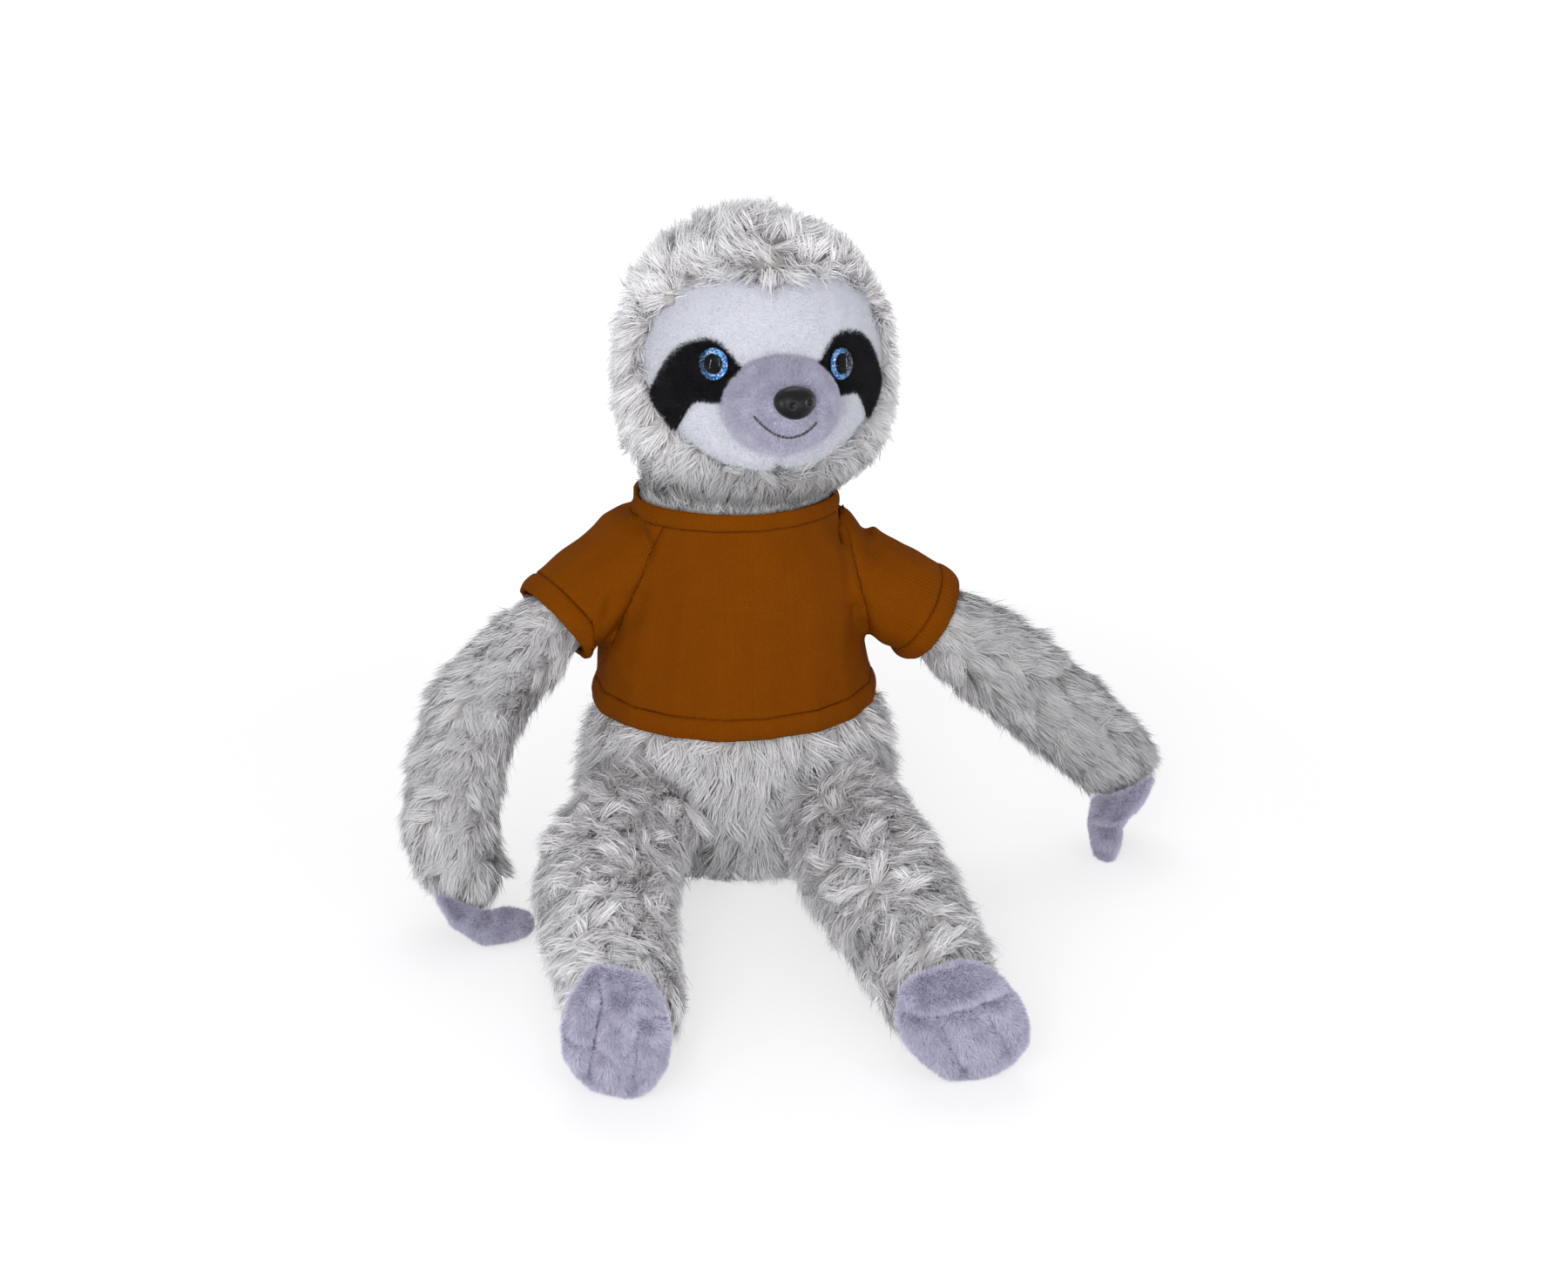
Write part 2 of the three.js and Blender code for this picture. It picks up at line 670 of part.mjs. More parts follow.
function headPieces() {
  const neck = gap - headLift;
  const below = block(torsoHeight, torsoHeight, torsoHeight, 0, 0, neck - torsoHeight / 2);
  const faceOuter = minkyPile;
  const patchInner = faceOuter + gap;
  const patchOuter = patchInner + appliqueThick;
  const outline = wholeOutline(facePointShares);
  const faceCut = (grow) =>
    facePrism(outline, faceHalfWidth + grow, faceHalfHeight + grow, 0, faceRise, faceCurveSteps);
  const hollow = headLayer(-backing, headInnerAround, headInnerRings);
  const fur = headLayer(furPile).subtract(hollow).subtract(faceCut(gap)).subtract(below);

  const muzzleY = -muzzleForward;
  const muzzleZ = -muzzleDrop;
  const muzzleDome = (offset, around = muzzleAround, rings = muzzleRings) =>
    ellipsoid(muzzleHalfWidth + offset, muzzleHalfDepth + offset, muzzleHalfHeight + offset, muzzleY, muzzleZ,
      around, rings);
  const faceAndGap = headLayer(faceOuter + gap);
  const noseWay = lookingOut(0, noseLift);
  const noseZ = muzzleZ + noseHeight;
  const noseY = muzzleY - muzzleHalfDepth * Math.sqrt(1 - (noseHeight / muzzleHalfHeight) ** 2);
  const nosePlace = new THREE.Vector3(0, noseY - gap, noseZ);
  const peg = (length, grow, place, way) =>
    turned(pegProfile(shankRadius + grow, -length - grow, 0), place, way);
  const nosePeg = (grow) => peg(noseShankLength, grow, nosePlace, noseWay);
  const noseDome = new THREE.SphereGeometry(1, lathe, domeSteps * 2).rotateX(Math.PI / 2);
  noseDome.scale(noseHalfWidth, noseDepth, noseHalfHeight).rotateX(-THREE.MathUtils.degToRad(noseLift));
  noseDome.translate(nosePlace.x, nosePlace.y, nosePlace.z);
  const noseBack = muzzleDome(gap);
  const nose = solidOf(noseDome).subtract(noseBack).add(nosePeg(0));
  const washer = (depth, grow, place, way) => {
    const hole = shankRadius + gap - grow;
    const rim = washerRadius + grow;
    return turned(ringProfile(hole, rim, -depth - washerThick - grow, -depth + grow), place, way);
  };
  const noseWasher = (grow) => washer(noseWasherDepth, grow, nosePlace, noseWay);
  const muzzleHollow = muzzleDome(-minkyPile, muzzleInnerAround, muzzleInnerRings);
  const muzzle = muzzleDome(0).subtract(muzzleHollow).subtract(faceAndGap).subtract(nosePeg(gap));
  const muzzleFilling = muzzleDome(-minkyPile - gap, muzzleInnerAround, muzzleInnerRings).subtract(faceAndGap);

  const pieces = {
    head_fur: fur,
    muzzle,
    muzzle_filling: muzzleFilling.subtract(nosePeg(gap)).subtract(noseWasher(gap)),
    nose,
    nose_washer: noseWasher(0),
    mouth_stitch: smile(muzzleY, muzzleZ),
  };
  let face = headLayer(faceOuter).subtract(hollow).intersect(faceCut(0));
  let filling = headLayer(-backing - gap, headInnerAround, headInnerRings).subtract(below);
  for (const [name, side] of Object.entries(sides)) {
    const way = lookingOut(side * eyeLean, eyeLift);
    const seat = onFace(side * eyeSide, eyeHeight, patchOuter).addScaledVector(way, eyeStandOff);
    const eyePeg = (grow) => peg(eyeShankLength, grow, seat, way);
    const dome = [[0, 0], [eyeRadius, 0], [eyeRadius, eyeRimHeight]];
    for (let k = 1; k <= domeSteps; k++) {
      const angle = (Math.PI / 2) * (k / domeSteps);
      const radius = k < domeSteps ? eyeRadius * Math.cos(angle) : 0;
      dome.push([radius, eyeRimHeight + eyeDomeHeight * Math.sin(angle)]);
    }
    const eyeWasher = (grow) => washer(eyeWasherDepth, grow, seat, way);
    const outlineHere = side > 0 ? patchPointShares : mirrored(patchPointShares);
    const patchX = side * patchSide;
    const patchCut = facePrism(outlineHere, patchHalfWidth, patchHalfHeight, patchX, -patchDrop, patchCurveSteps);
    const patchLayer = headLayer(patchOuter).subtract(headLayer(patchInner));
    const patch = patchLayer.intersect(patchCut).intersect(faceCut(0));
    pieces[`eye_${name}`] = turned(dome, seat, way).add(eyePeg(0));
    pieces[`eye_glitter_${name}`] = turned(
      ringProfile(shankRadius + gap, eyeRadius, -glitterGap - glitterThick, -glitterGap), seat, way);
    pieces[`eye_washer_${name}`] = eyeWasher(0);
    pieces[`eye_patch_${name}`] = patch.subtract(eyePeg(gap)).subtract(muzzleDome(gap));
    face = face.subtract(eyePeg(gap));
    filling = filling.subtract(eyePeg(gap)).subtract(eyeWasher(gap));
  }
  pieces.face_panel = face;
  pieces.head_filling = filling;
  return pieces;
}

// The embroidered smile, a thread that lies on the muzzle
function smile(muzzleY, muzzleZ) {
  const lift = smileThread + gap;
  const places = [];
  for (let k = 0; k <= smileSteps; k++) {
    const u = (2 * k) / smileSteps - 1;
    const x = u * smileHalfWidth;
    const z = smileEnds - smileDip * (1 - u * u);
    const level = 1 - (x / muzzleHalfWidth) ** 2 - (z / muzzleHalfHeight) ** 2;
    const y = muzzleY - (muzzleHalfDepth + lift) * Math.sqrt(level) - lift;
    places.push(new THREE.Vector3(x, y, muzzleZ + z));
  }
  const section = Array.from({ length: threadSides }, (_, i) => {
    const angle = (i / threadSides) * Math.PI * 2;
    return new THREE.Vector2(smileThread * Math.cos(angle), smileThread * Math.sin(angle));
  });
  const path = new THREE.CatmullRomCurve3(places);
  const thread = new THREE.ExtrudeGeometry(new THREE.Shape(section), { extrudePath: path, steps: smileSteps });
  return solidOf(thread);
}

// Materials
const finish = (color, roughness, metalness = 0) =>
  new THREE.MeshStandardMaterial({ color, roughness, metalness, flatShading: true });
const materials = {
  fur: finish(0xc4c2c0, 0.95),
  filling: finish(0xf4f4f2, 1),
  pellets: finish(0xe8e4d8, 0.9),
  face: finish(0xe8e9f2, 0.9),
  lilac: finish(0xa9a2bd, 0.9),
  black: finish(0x141416, 0.85),
  shirt: finish(0x8a4b06, 0.9),
  lens: finish(0x20242c, 0.05),
  glitter: finish(0x3f86d0, 0.3, 0.5),
  nose: finish(0x101012, 0.3),
  washer: finish(0xf0f0ee, 0.4),
  thread: finish(0x1c1c22, 0.8),
};
const materialNames = [
  [/^(sleeve|shirt)/, 'shirt'],
  [/pellet/, 'pellets'],
  [/filling/, 'filling'],
  [/fur/, 'fur'],
  [/washer/, 'washer'],
  [/^face/, 'face'],
  [/^eye_patch/, 'black'],
  [/^eye_glitter/, 'glitter'],
  [/^eye/, 'lens'],
  [/^nose/, 'nose'],
  [/^mouth/, 'thread'],
  [/^(muzzle|hand|foot)/, 'lilac'],
];

function meshes(pieces, group) {
  for (const [name, solid] of Object.entries(pieces)) {
    const [, material] = materialNames.find(([pattern]) => pattern.test(name));
    const mesh = new THREE.Mesh(geometryOf(solid), materials[material]);
    mesh.name = name;
    group.add(mesh);
  }
  return group;
}

// Assembly
const sloth = new THREE.Group();
sloth.name = 'plush_sloth';
const torso = meshes({ ...torsoPieces(), ...shirtPieces() }, new THREE.Group());
const head = meshes(headPieces(), new THREE.Group());
head.position.set(headSide, -headForward, torsoHeight + headLift);
head.rotation.z = THREE.MathUtils.degToRad(headTurn);
const end = (joint, shares, length) => alongLimb(joint, length, shares[shares.length - 1]);
const limbs = meshes({
  ...armPieces('right', rightArmShares, armSwing),
  ...armPieces('left', leftArmShares, armSwing),
  ...legPieces('right', rightLegShares, rightLegSwing),
  ...legPieces('left', leftLegShares, leftLegSwing),
  ...handPieces('right', end(armJoint('right'), rightArmShares, armLength), rightHandPathShares,
    rightHandAcrossShares),
  ...handPieces('left', end(armJoint('left'), leftArmShares, armLength), leftHandPathShares,
    leftHandAcrossShares),
  ...footPieces('right', end(legJoint('right'), rightLegShares, legLength)),
  ...footPieces('left', end(legJoint('left'), leftLegShares, legLength)),
}, new THREE.Group());
sloth.add(torso, head, limbs);

export default sloth;
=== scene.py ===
# A plush sloth that sits in a short-sleeved knit shirt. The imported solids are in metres, in this frame:
# -Y is the way it faces, +X is its left and +Z is up. Sizes here are in millimetres, times mm.
import math

import bmesh
import bpy
import numpy as np
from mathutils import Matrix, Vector, kdtree, noise


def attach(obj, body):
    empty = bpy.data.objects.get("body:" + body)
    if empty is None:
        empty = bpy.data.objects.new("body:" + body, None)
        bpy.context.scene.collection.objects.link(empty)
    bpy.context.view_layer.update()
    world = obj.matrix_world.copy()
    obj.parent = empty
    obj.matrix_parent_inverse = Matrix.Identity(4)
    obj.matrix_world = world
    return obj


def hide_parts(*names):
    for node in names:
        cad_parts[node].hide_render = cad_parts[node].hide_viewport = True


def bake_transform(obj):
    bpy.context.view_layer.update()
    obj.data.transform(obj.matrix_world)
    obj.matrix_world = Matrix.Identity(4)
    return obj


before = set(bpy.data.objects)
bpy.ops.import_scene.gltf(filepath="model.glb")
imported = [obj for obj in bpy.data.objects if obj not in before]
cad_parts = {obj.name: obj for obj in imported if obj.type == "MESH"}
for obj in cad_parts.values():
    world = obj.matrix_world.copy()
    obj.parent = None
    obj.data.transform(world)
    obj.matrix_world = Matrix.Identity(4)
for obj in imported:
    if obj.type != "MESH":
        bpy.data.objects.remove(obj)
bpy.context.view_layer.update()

bpy.ops.object.select_all(action="DESELECT")
mm = 0.001


# Camera, lights and floor
# A long lens at the photograph's angle, a large soft key from the upper left, a fill, a light from
# behind, and a pale floor that runs into a white background.
camera_place = Vector((-97.8, -1107.5, 493.6)) * mm
camera_target = Vector((18.4, -1.9, 89.0)) * mm
toy_middle = Vector((0, 0, 110)) * mm


def look_at(thing, target):
    thing.rotation_euler = (target - thing.location).to_track_quat("-Z", "Y").to_euler()


bpy.ops.object.camera_add(location=camera_place)
camera = bpy.context.object
camera.name = "photo_camera"
look_at(camera, camera_target)
camera.data.sensor_width = 36
camera.data.lens = 65.7
bpy.context.scene.camera = camera
bpy.context.scene.view_settings.view_transform = "Standard"


def soft_light(name, place, size, power, height=None):
    """A square lamp, or with a height an upright one, turned to the toy."""
    bpy.ops.object.light_add(type="AREA", location=Vector(place) * mm)
    lamp = bpy.context.object
    lamp.name = name
    lamp.data.size = size * mm
    if height is not None:
        lamp.data.shape = "RECTANGLE"
        lamp.data.size_y = height * mm
    lamp.data.energy = power
    look_at(lamp, toy_middle)
    return lamp


soft_light("key_light", (-700, -1300, 900), 900, 5.1)
soft_light("fill_light", (900, -1300, 350), 1100, 4.3)
soft_light("low_light", (0, -1500, 230), 1300, 5.6, height=420)
soft_light("strip_light", (-380, -1300, 480), 300, 4.5, height=800)
soft_light("back_light", (0, 900, 1300), 900, 7.2)


class Shader:
    """A node tree, with helpers that add nodes and link or set their inputs."""

    def __init__(self, tree):
        self.tree = tree
        self.surface = tree.nodes.get("Principled BSDF")

    def put(self, socket, value):
        if isinstance(value, bpy.types.NodeSocket):
            self.tree.links.new(value, socket)
        else:
            socket.default_value = value

    def feed(self, name, value):
        """Puts a value on the surface shader's own socket."""
        self.put(self.surface.inputs[name], value)

    def add(self, kind, inputs=(), **settings):
        node = self.tree.nodes.new(kind)
        for key, value in settings.items():
            setattr(node, key, value)
        for key, value in dict(inputs).items():
            self.put(node.inputs[key], value)
        return node

    def math(self, operation, *values):
        return self.add("ShaderNodeMath", enumerate(values), operation=operation).outputs[0]

    def weighted(self, *terms, plus=0.0):
        """The sum of values, each times its weight, and a constant."""
        total = plus
        for value, weight in terms:
            total = self.math("MULTIPLY_ADD", value, weight, total)
        return total

    def mix(self, factor, a, b):
        return self.add("ShaderNodeMix", {0: factor, 6: a, 7: b}, data_type="RGBA").outputs[2]

    def ramp(self, factor, stops):
        node = self.add("ShaderNodeValToRGB", {0: factor})
        elements = node.color_ramp.elements
        while len(elements) < len(stops):
            elements.new(0.5)
        for element, (place, colour) in zip(elements, stops):
            element.position = place
            element.color = colour
        return node.outputs[0]

    def bump(self, strength, depth, height):
        """Gives the surface a fine relief, its depth in millimetres."""
        node = self.add("ShaderNodeBump", {"Strength": strength, "Distance": depth * mm, "Height": height})
        self.feed("Normal", node.outputs[0])

    def place(self):
        return self.add("ShaderNodeTexCoord").outputs["Object"]

    def chart(self):
        return self.add("ShaderNodeUVMap", uv_map="OFBake").outputs[0]

    def parts(self, vector):
        return self.add("ShaderNodeSeparateXYZ", {0: vector}).outputs


def paint(*channels):
    """A colour on a screen's 0 to 255 scale, as a shader takes it."""
    linear = [c / 255 / 12.92 if c <= 10 else ((c / 255 + 0.055) / 1.055) ** 2.4 for c in channels]
    return (*linear, 1.0)


def emptied(owner):
    """The helper of a world's or a material's node tree, once its nodes are gone."""
    owner.use_nodes = True
    owner.node_tree.nodes.clear()
    return Shader(owner.node_tree)


def background_rays(shader):
    rays = shader.add("ShaderNodeLightPath").outputs
    glass = shader.math("MAXIMUM", rays["Is Glossy Ray"], rays["Is Transmission Ray"])
    return shader.math("MAXIMUM", rays["Is Camera Ray"], glass)


world = bpy.data.worlds.new("studio")
bpy.context.scene.world = world
sky = emptied(world)
dim = sky.add("ShaderNodeBackground", {"Color": (0.97, 0.97, 1.0, 1), "Strength": 0.45})
white = sky.add("ShaderNodeBackground", {"Color": (1, 1, 1, 1), "Strength": 1.0})
both = sky.add("ShaderNodeMixShader", {0: background_rays(sky), 1: dim.outputs[0], 2: white.outputs[0]})
sky.add("ShaderNodeOutputWorld", {"Surface": both.outputs[0]})

bpy.ops.mesh.primitive_plane_add(size=8)
floor = bpy.context.object
floor.name = "studio_floor"
floor_paint = bpy.data.materials.new("pale_floor")
ground = emptied(floor_paint)
lit = ground.add("ShaderNodeBsdfDiffuse", {"Color": (0.42, 0.42, 0.43, 1)})
away = ground.add("ShaderNodeVectorMath", {0: ground.place()}, operation="LENGTH").outputs["Value"]
fade = ground.add("ShaderNodeMapRange", {0: away, 1: 0.25, 2: 0.8, 3: 0.65, 4: 1.0},
                  interpolation_type="SMOOTHSTEP")
glow = ground.add("ShaderNodeEmission", {"Color": (1, 1, 1, 1), "Strength": fade.outputs[0]})
shown = ground.add("ShaderNodeAddShader", {0: lit.outputs[0], 1: glow.outputs[0]})
plain = ground.add("ShaderNodeBsdfDiffuse", {"Color": (0.8, 0.8, 0.81, 1)})
both = ground.add("ShaderNodeMixShader", {0: background_rays(ground), 1: plain.outputs[0], 2: shown.outputs[0]})
ground.add("ShaderNodeOutputMaterial", {"Surface": both.outputs[0]})
floor.data.materials.append(floor_paint)


# Torso
# A stuffed pear of long-pile plush, flat where it sits. The backing is a knit skin over fibre filling,
# and grey pile stands on it in tufts that hang down the belly and back.
signs = {"right": -1, "left": 1}
backing_depth = 3.2         # from the solid's surface to the backing that the pile stands on
backing_voxel = 2.2
backing_rounds = 5
pile_floor = 0.5            # the lowest that any pile reaches
collar_seam = 148
collar_top = 155.2
hem_middle = 67
hem_slope = 0.05            # the hem hangs lower at the front


def grade(values, start, end):
    """From 0 at the start to 1 at the end, and level beyond them."""
    return np.clip((values - start) / (end - start), 0, 1)


def eased(share):
    return share * share * (3 - 2 * share)


def hump(values, middle, width):
    return np.exp(-(((values - middle) / width) ** 2))


def unit(ways):
    return ways / np.maximum(np.linalg.norm(ways, axis=-1, keepdims=True), 1e-9)


def noisy(places, kind=noise.noise):
    """Smooth noise at each of some places, a value or a way."""
    return np.array([kind(Vector(place)) for place in places])


def select_only(*pieces):
    """Selects nothing else, and makes the last piece the active one."""
    bpy.ops.object.select_all(action="DESELECT")
    for piece in pieces:
        piece.select_set(True)
        bpy.context.view_layer.objects.active = piece


def edit(piece):
    select_only(piece)
    bpy.ops.object.mode_set(mode="EDIT")
    bpy.ops.mesh.select_all(action="SELECT")


def done():
    bpy.ops.object.mode_set(mode="OBJECT")
    select_only()


def apply(piece, kind, **settings):
    modifier = piece.modifiers.new(kind.lower(), kind)
    for key, value in settings.items():
        setattr(modifier, key, value)
    select_only(piece)
    bpy.ops.object.modifier_apply(modifier=modifier.name)
    select_only()


def read(items, name, width, kind=np.float32):
    """A row of values from each of a mesh's items."""
    values = np.empty(len(items) * width, kind)
    items.foreach_get(name, values)
    return values.reshape(-1, width)


def write(items, name, values, kind=np.float32):
    items.foreach_set(name, np.asarray(values).astype(kind).reshape(-1))


def places_of(piece):
    """The piece's points, in millimetres."""
    return read(piece.data.vertices, "co", 3).astype(float) / mm


def normals_of(piece):
    return read(piece.data.vertex_normals, "vector", 3).astype(float)


def set_places(piece, places):
    write(piece.data.vertices, "co", np.asarray(places) * mm)
    piece.data.update()


def area_of(piece):
    return sum(face.area for face in piece.data.polygons)


def new_piece(name, mesh):
    piece = bpy.data.objects.new(name, mesh)
    bpy.context.collection.objects.link(piece)
    return piece


def soft_copy(name, nodes, voxel, rounds, depth=0.0):
    """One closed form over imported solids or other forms, remeshed, eased and drawn in by a depth."""
    parts = [new_piece(name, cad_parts[node].data.copy()) if isinstance(node, str) else node
             for node in nodes]
    select_only(*parts)
    if len(parts) > 1:
        bpy.ops.object.join()
    piece = bpy.context.view_layer.objects.active
    piece.name = piece.data.name = name
    piece.data.materials.clear()
    edit(piece)
    bpy.ops.mesh.remove_doubles(threshold=0.000001)
    done()
    apply(piece, "REMESH", mode="VOXEL", voxel_size=voxel * mm)
    apply(piece, "SMOOTH", factor=0.5, iterations=rounds)
    if depth:
        edit(piece)
        bpy.ops.transform.shrink_fatten(value=-depth * mm)
        done()
    piece.data.shade_smooth()
    return piece


def sown(skin, count, keep, rng):
    """Places and normals spread evenly over the part of a skin where pile grows."""
    skin.data.calc_loop_triangles()
    corners = read(skin.data.loop_triangles, "vertices", 3, np.int32)
    places = places_of(skin)[corners]
    normals = normals_of(skin)[corners]
    weight = np.linalg.norm(np.cross(places[:, 1] - places[:, 0], places[:, 2] - places[:, 0]), axis=1)
    weight = weight * keep(places.mean(1), normals.mean(1))
    pick = rng.choice(len(corners), count, p=weight / weight.sum())
    a, b = np.sqrt(rng.random(count)), rng.random(count)
    share = np.stack([1 - a, a * (1 - b), a * b], 1)[:, :, None]
    return (places[pick] * share).sum(1), unit((normals[pick] * share).sum(1))


def strands(name, bends, widths, lines, sides, tones):
    """A mesh of tapered ribbons, from the points along each one and the way that its width lies."""
    count, steps = bends.shape[:2]
    half = (widths[:, None] * lines)[:, :-1, None] * sides[:, None, :] / 2
    left, right, tip = bends[:, :-1] - half, bends[:, :-1] + half, bends[:, -1:]
    points = np.concatenate([left, right, tip], 1)
    points[..., 2] = np.maximum(points[..., 2], pile_floor)
    rows = steps - 1
    quads = [(k, rows + k, rows + k + 1, k + 1) for k in range(rows - 1)]
    loops = [corner for quad in quads for corner in quad] + [rows - 1, 2 * rows - 1, 2 * rows]
    sizes = [4] * len(quads) + [3]
    strand = np.arange(count)[:, None]
    mesh = bpy.data.meshes.new(name)
    mesh.vertices.add(count * (2 * rows + 1))
    mesh.loops.add(count * len(loops))
    mesh.polygons.add(count * len(sizes))
    write(mesh.vertices, "co", points * mm)
    write(mesh.loops, "vertex_index", strand * (2 * rows + 1) + loops, np.int32)
    write(mesh.polygons, "loop_start", strand * len(loops) + np.cumsum([0] + sizes[:-1]), np.int32)
    lengthwise = np.array([k / rows for k in range(rows)] * 2 + [1.0])[loops]
    crosswise = np.array([0.0] * rows + [0.02] * rows + [0.01])[loops]
    charts = np.stack([np.tile(lengthwise, (count, 1)), tones[:, None] + crosswise], -1)
    write(mesh.uv_layers.new(name="OFBake").data, "uv", charts)
    mesh.update(calc_edges=True)
    mesh.validate()
    mesh.shade_smooth()
    return new_piece(name, mesh)


def flat_on(ways, normals):
    return ways - (ways * normals).sum(-1, keepdims=True) * normals


def pelt(name, skin, count, length, keep, comb, seed, tuft=6.2, rise=0.3, stray=0.4,
         pull=(0.34, 0.7), shape=None, swirl=0.8):
    """Long pile on a skin: fine curved strands in soft tufts, whose tips lean together."""
    rng = np.random.default_rng(seed)
    roots, normals = sown(skin, count, keep, rng)
    tufts = int(area_of(skin) / mm**2 / tuft**2)
    hearts, heart_normals = sown(skin, tufts, keep, rng)
    tree = kdtree.KDTree(tufts)
    for k, heart in enumerate(hearts):
        tree.insert(heart, k)
    tree.balance()
    own = np.array([tree.find(root)[1] for root in roots])

    drift = flat_on(rng.normal(size=(tufts, 3)), heart_normals)
    flow = noisy(hearts / 15, noise.noise_vector)
    lean = flat_on(comb(hearts, heart_normals) + swirl * flow, heart_normals) + stray * drift
    scale, lift = np.ones((tufts, 1)), np.ones((tufts, 1))
    if shape is not None:
        scale, lift = shape(hearts)
    way = unit(heart_normals * rise * lift * rng.uniform(0.6, 1.4, (tufts, 1)) + unit(lean))
    reach = length * scale * rng.uniform(0.8, 1.12, (tufts, 1))
    tips = hearts + way * reach
    curl = flat_on(rng.normal(size=(tufts, 3)), heart_normals) * length * 0.11

    short = rng.choice([1, 0.6], (count, 1), p=[0.65, 0.35])
    strand_reach = reach[own] * short * rng.uniform(0.75, 1.1, (count, 1))
    strand_way = unit(way[own] + 0.24 * rng.normal(size=(count, 3)))
    tip = roots + strand_way * strand_reach
    drawn = np.where(rng.random((count, 1)) < 0.10, 0.1, rng.uniform(*pull, (count, 1)))
    share = np.clip(strand_reach / reach[own], 0, 1)
    gathered = hearts[own] + (tips[own] - hearts[own]) * share + rng.normal(size=(count, 3)) * 0.8
    tip = tip * (1 - drawn) + gathered * drawn
    middle = roots + (normals * (0.35 * lift[own] + 0.12) + strand_way * 0.7) * strand_reach * 0.5 + curl[own]
    t = np.array([0, 0.52, 1])[None, :, None]
    bends = (1 - t) ** 2 * roots[:, None] + 2 * t * (1 - t) * middle[:, None] + t**2 * tip[:, None]
    offset = (roots - hearts[own]) / tuft
    facing = unit(normals + 0.8 * offset + 0.22 * rng.normal(size=(count, 3)))
    sides = unit(np.cross(unit(bends[:, 2] - bends[:, 0]), facing))
    widths = rng.uniform(0.32, 0.54, count)
    tones = 0.55 * rng.random(tufts)[own] + 0.41 * rng.random(count)
    return strands(name, bends, widths, np.array([[1, 0.95, 0]]), sides, tones)


def material(name, roughness, **sockets):
    """A new material and the helper of its tree, with plain values on its one surface shader."""
    made = bpy.data.materials.new(name)
    made.use_nodes = True
    shader = Shader(made.node_tree)
    shader.feed("Roughness", roughness)
    for key, value in sockets.items():
        shader.feed(key.replace("_", " "), value)
    return made, shader


def mottle_group():
    """Soft patches and fine grain over a surface, from its place: Cloud, Grain and Height."""
    group = bpy.data.node_groups.new("mottle", "ShaderNodeTree")
    for name in ("Cloud Size", "Grain Size"):
        group.interface.new_socket(name, in_out="INPUT", socket_type="NodeSocketFloat")
    for name in ("Cloud", "Grain", "Height"):
        group.interface.new_socket(name, in_out="OUTPUT", socket_type="NodeSocketFloat")
    shader = Shader(group)
    sizes = shader.add("NodeGroupInput").outputs
    place = shader.place()

    def spots(size, detail):
        scale = shader.math("DIVIDE", 1.0, size)
        return shader.add("ShaderNodeTexNoise", {"Vector": place, "Scale": scale, "Detail": detail}).outputs[0]

    cloud = spots(sizes[0], 3.0)
    grain = spots(sizes[1], 2.0)
    shader.add("NodeGroupOutput", {0: cloud, 1: grain, 2: shader.weighted((cloud, 0.4), plus=grain)})
    return group


mottle = mottle_group()


def mottled(shader, cloud_size, grain_size):
    node = shader.add("ShaderNodeGroup", node_tree=mottle)
    node.inputs[0].default_value = cloud_size * mm
    node.inputs[1].default_value = grain_size * mm
    return node.outputs


def pile_material(name, shade, neck):
    """Pile with painted shade at its roots and pale at its tips, made lighter or darker as a whole by a share
    of painted light or shade, and darker down the neck by another share, painted shade under the chin.
    """
    made, shader = material(name, 0.62, Specular_IOR_Level=0.25)
    strand = shader.parts(shader.chart())
    # The ramp's dark roots are painted shade, where the roots lie in the shadow of the pile over them.
    colour = shader.ramp(strand[0], [(0.0, paint(190, 187, 186)), (0.35, paint(212, 210, 210)),
                                     (0.7, paint(229, 228, 230)), (1.0, paint(238, 238, 240))])
    # The share called shade is painted light or shade: it makes this copy of the pile lighter or darker as a
    # whole.
    tone = shader.math("MULTIPLY", shader.weighted((strand[1], 0.2), plus=0.87), shade)
    cloud = mottled(shader, 26, 3)["Cloud"]
    tone = shader.math("MULTIPLY", tone, shader.weighted((cloud, 0.30), plus=0.86))
    # Painted shade under the chin: the pile grows darker downwards between 154 and 190 mm high.
    if neck:
        height = shader.parts(shader.place())[2]
        low = shader.add("ShaderNodeMapRange", {0: height, 1: 0.154, 2: 0.190, 3: 1 - neck, 4: 1.0},
                         interpolation_type="SMOOTHSTEP")
        tone = shader.math("MULTIPLY", tone, low.outputs[0])
    toned = shader.add("ShaderNodeVectorMath", {0: colour, 1: tone}, operation="MULTIPLY")
    shader.feed("Base Color", toned.outputs[0])
    return made


def stuff_material(name, colour, shade, roughness, cloud_size, grain_size, depth, by="Cloud"):
    """A plain stuff that is never quite even, in two colours and with a fine relief."""
    made, shader = material(name, roughness)
    spots = mottled(shader, cloud_size, grain_size)
    shader.feed("Base Color", shader.mix(spots[by], shade, colour))
    shader.bump(0.6, depth, spots["Height"])
    return made


def finish(piece, look, body, slot, *nodes):
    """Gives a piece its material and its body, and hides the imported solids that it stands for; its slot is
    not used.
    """
    piece.data.materials.append(look)
    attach(piece, body)
    if nodes:
        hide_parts(*nodes)


fur_backing = stuff_material("pile_backing", paint(196, 193, 192), paint(160, 157, 156), 0.9, 9, 0.9, 0.8,
                             by="Grain")


def skin_piece(name, nodes, body, depth=backing_depth):
    piece = soft_copy(name, nodes, backing_voxel, backing_rounds, depth)
    places = places_of(piece)
    places[:, 2] = np.maximum(places[:, 2], pile_floor)
    set_places(piece, places)
    finish(piece, fur_backing, body, "fur", *nodes)
    return piece


def coat(piece, body, shade, neck=0.0):
    """Gives a pelt its finish: the same pile, made lighter or darker as a whole by a share that is painted
    light or shade, and with painted shade under the chin by another share.
    """
    finish(piece, pile_material(f"grey_long_{piece.name}", shade, neck), body, "fur")


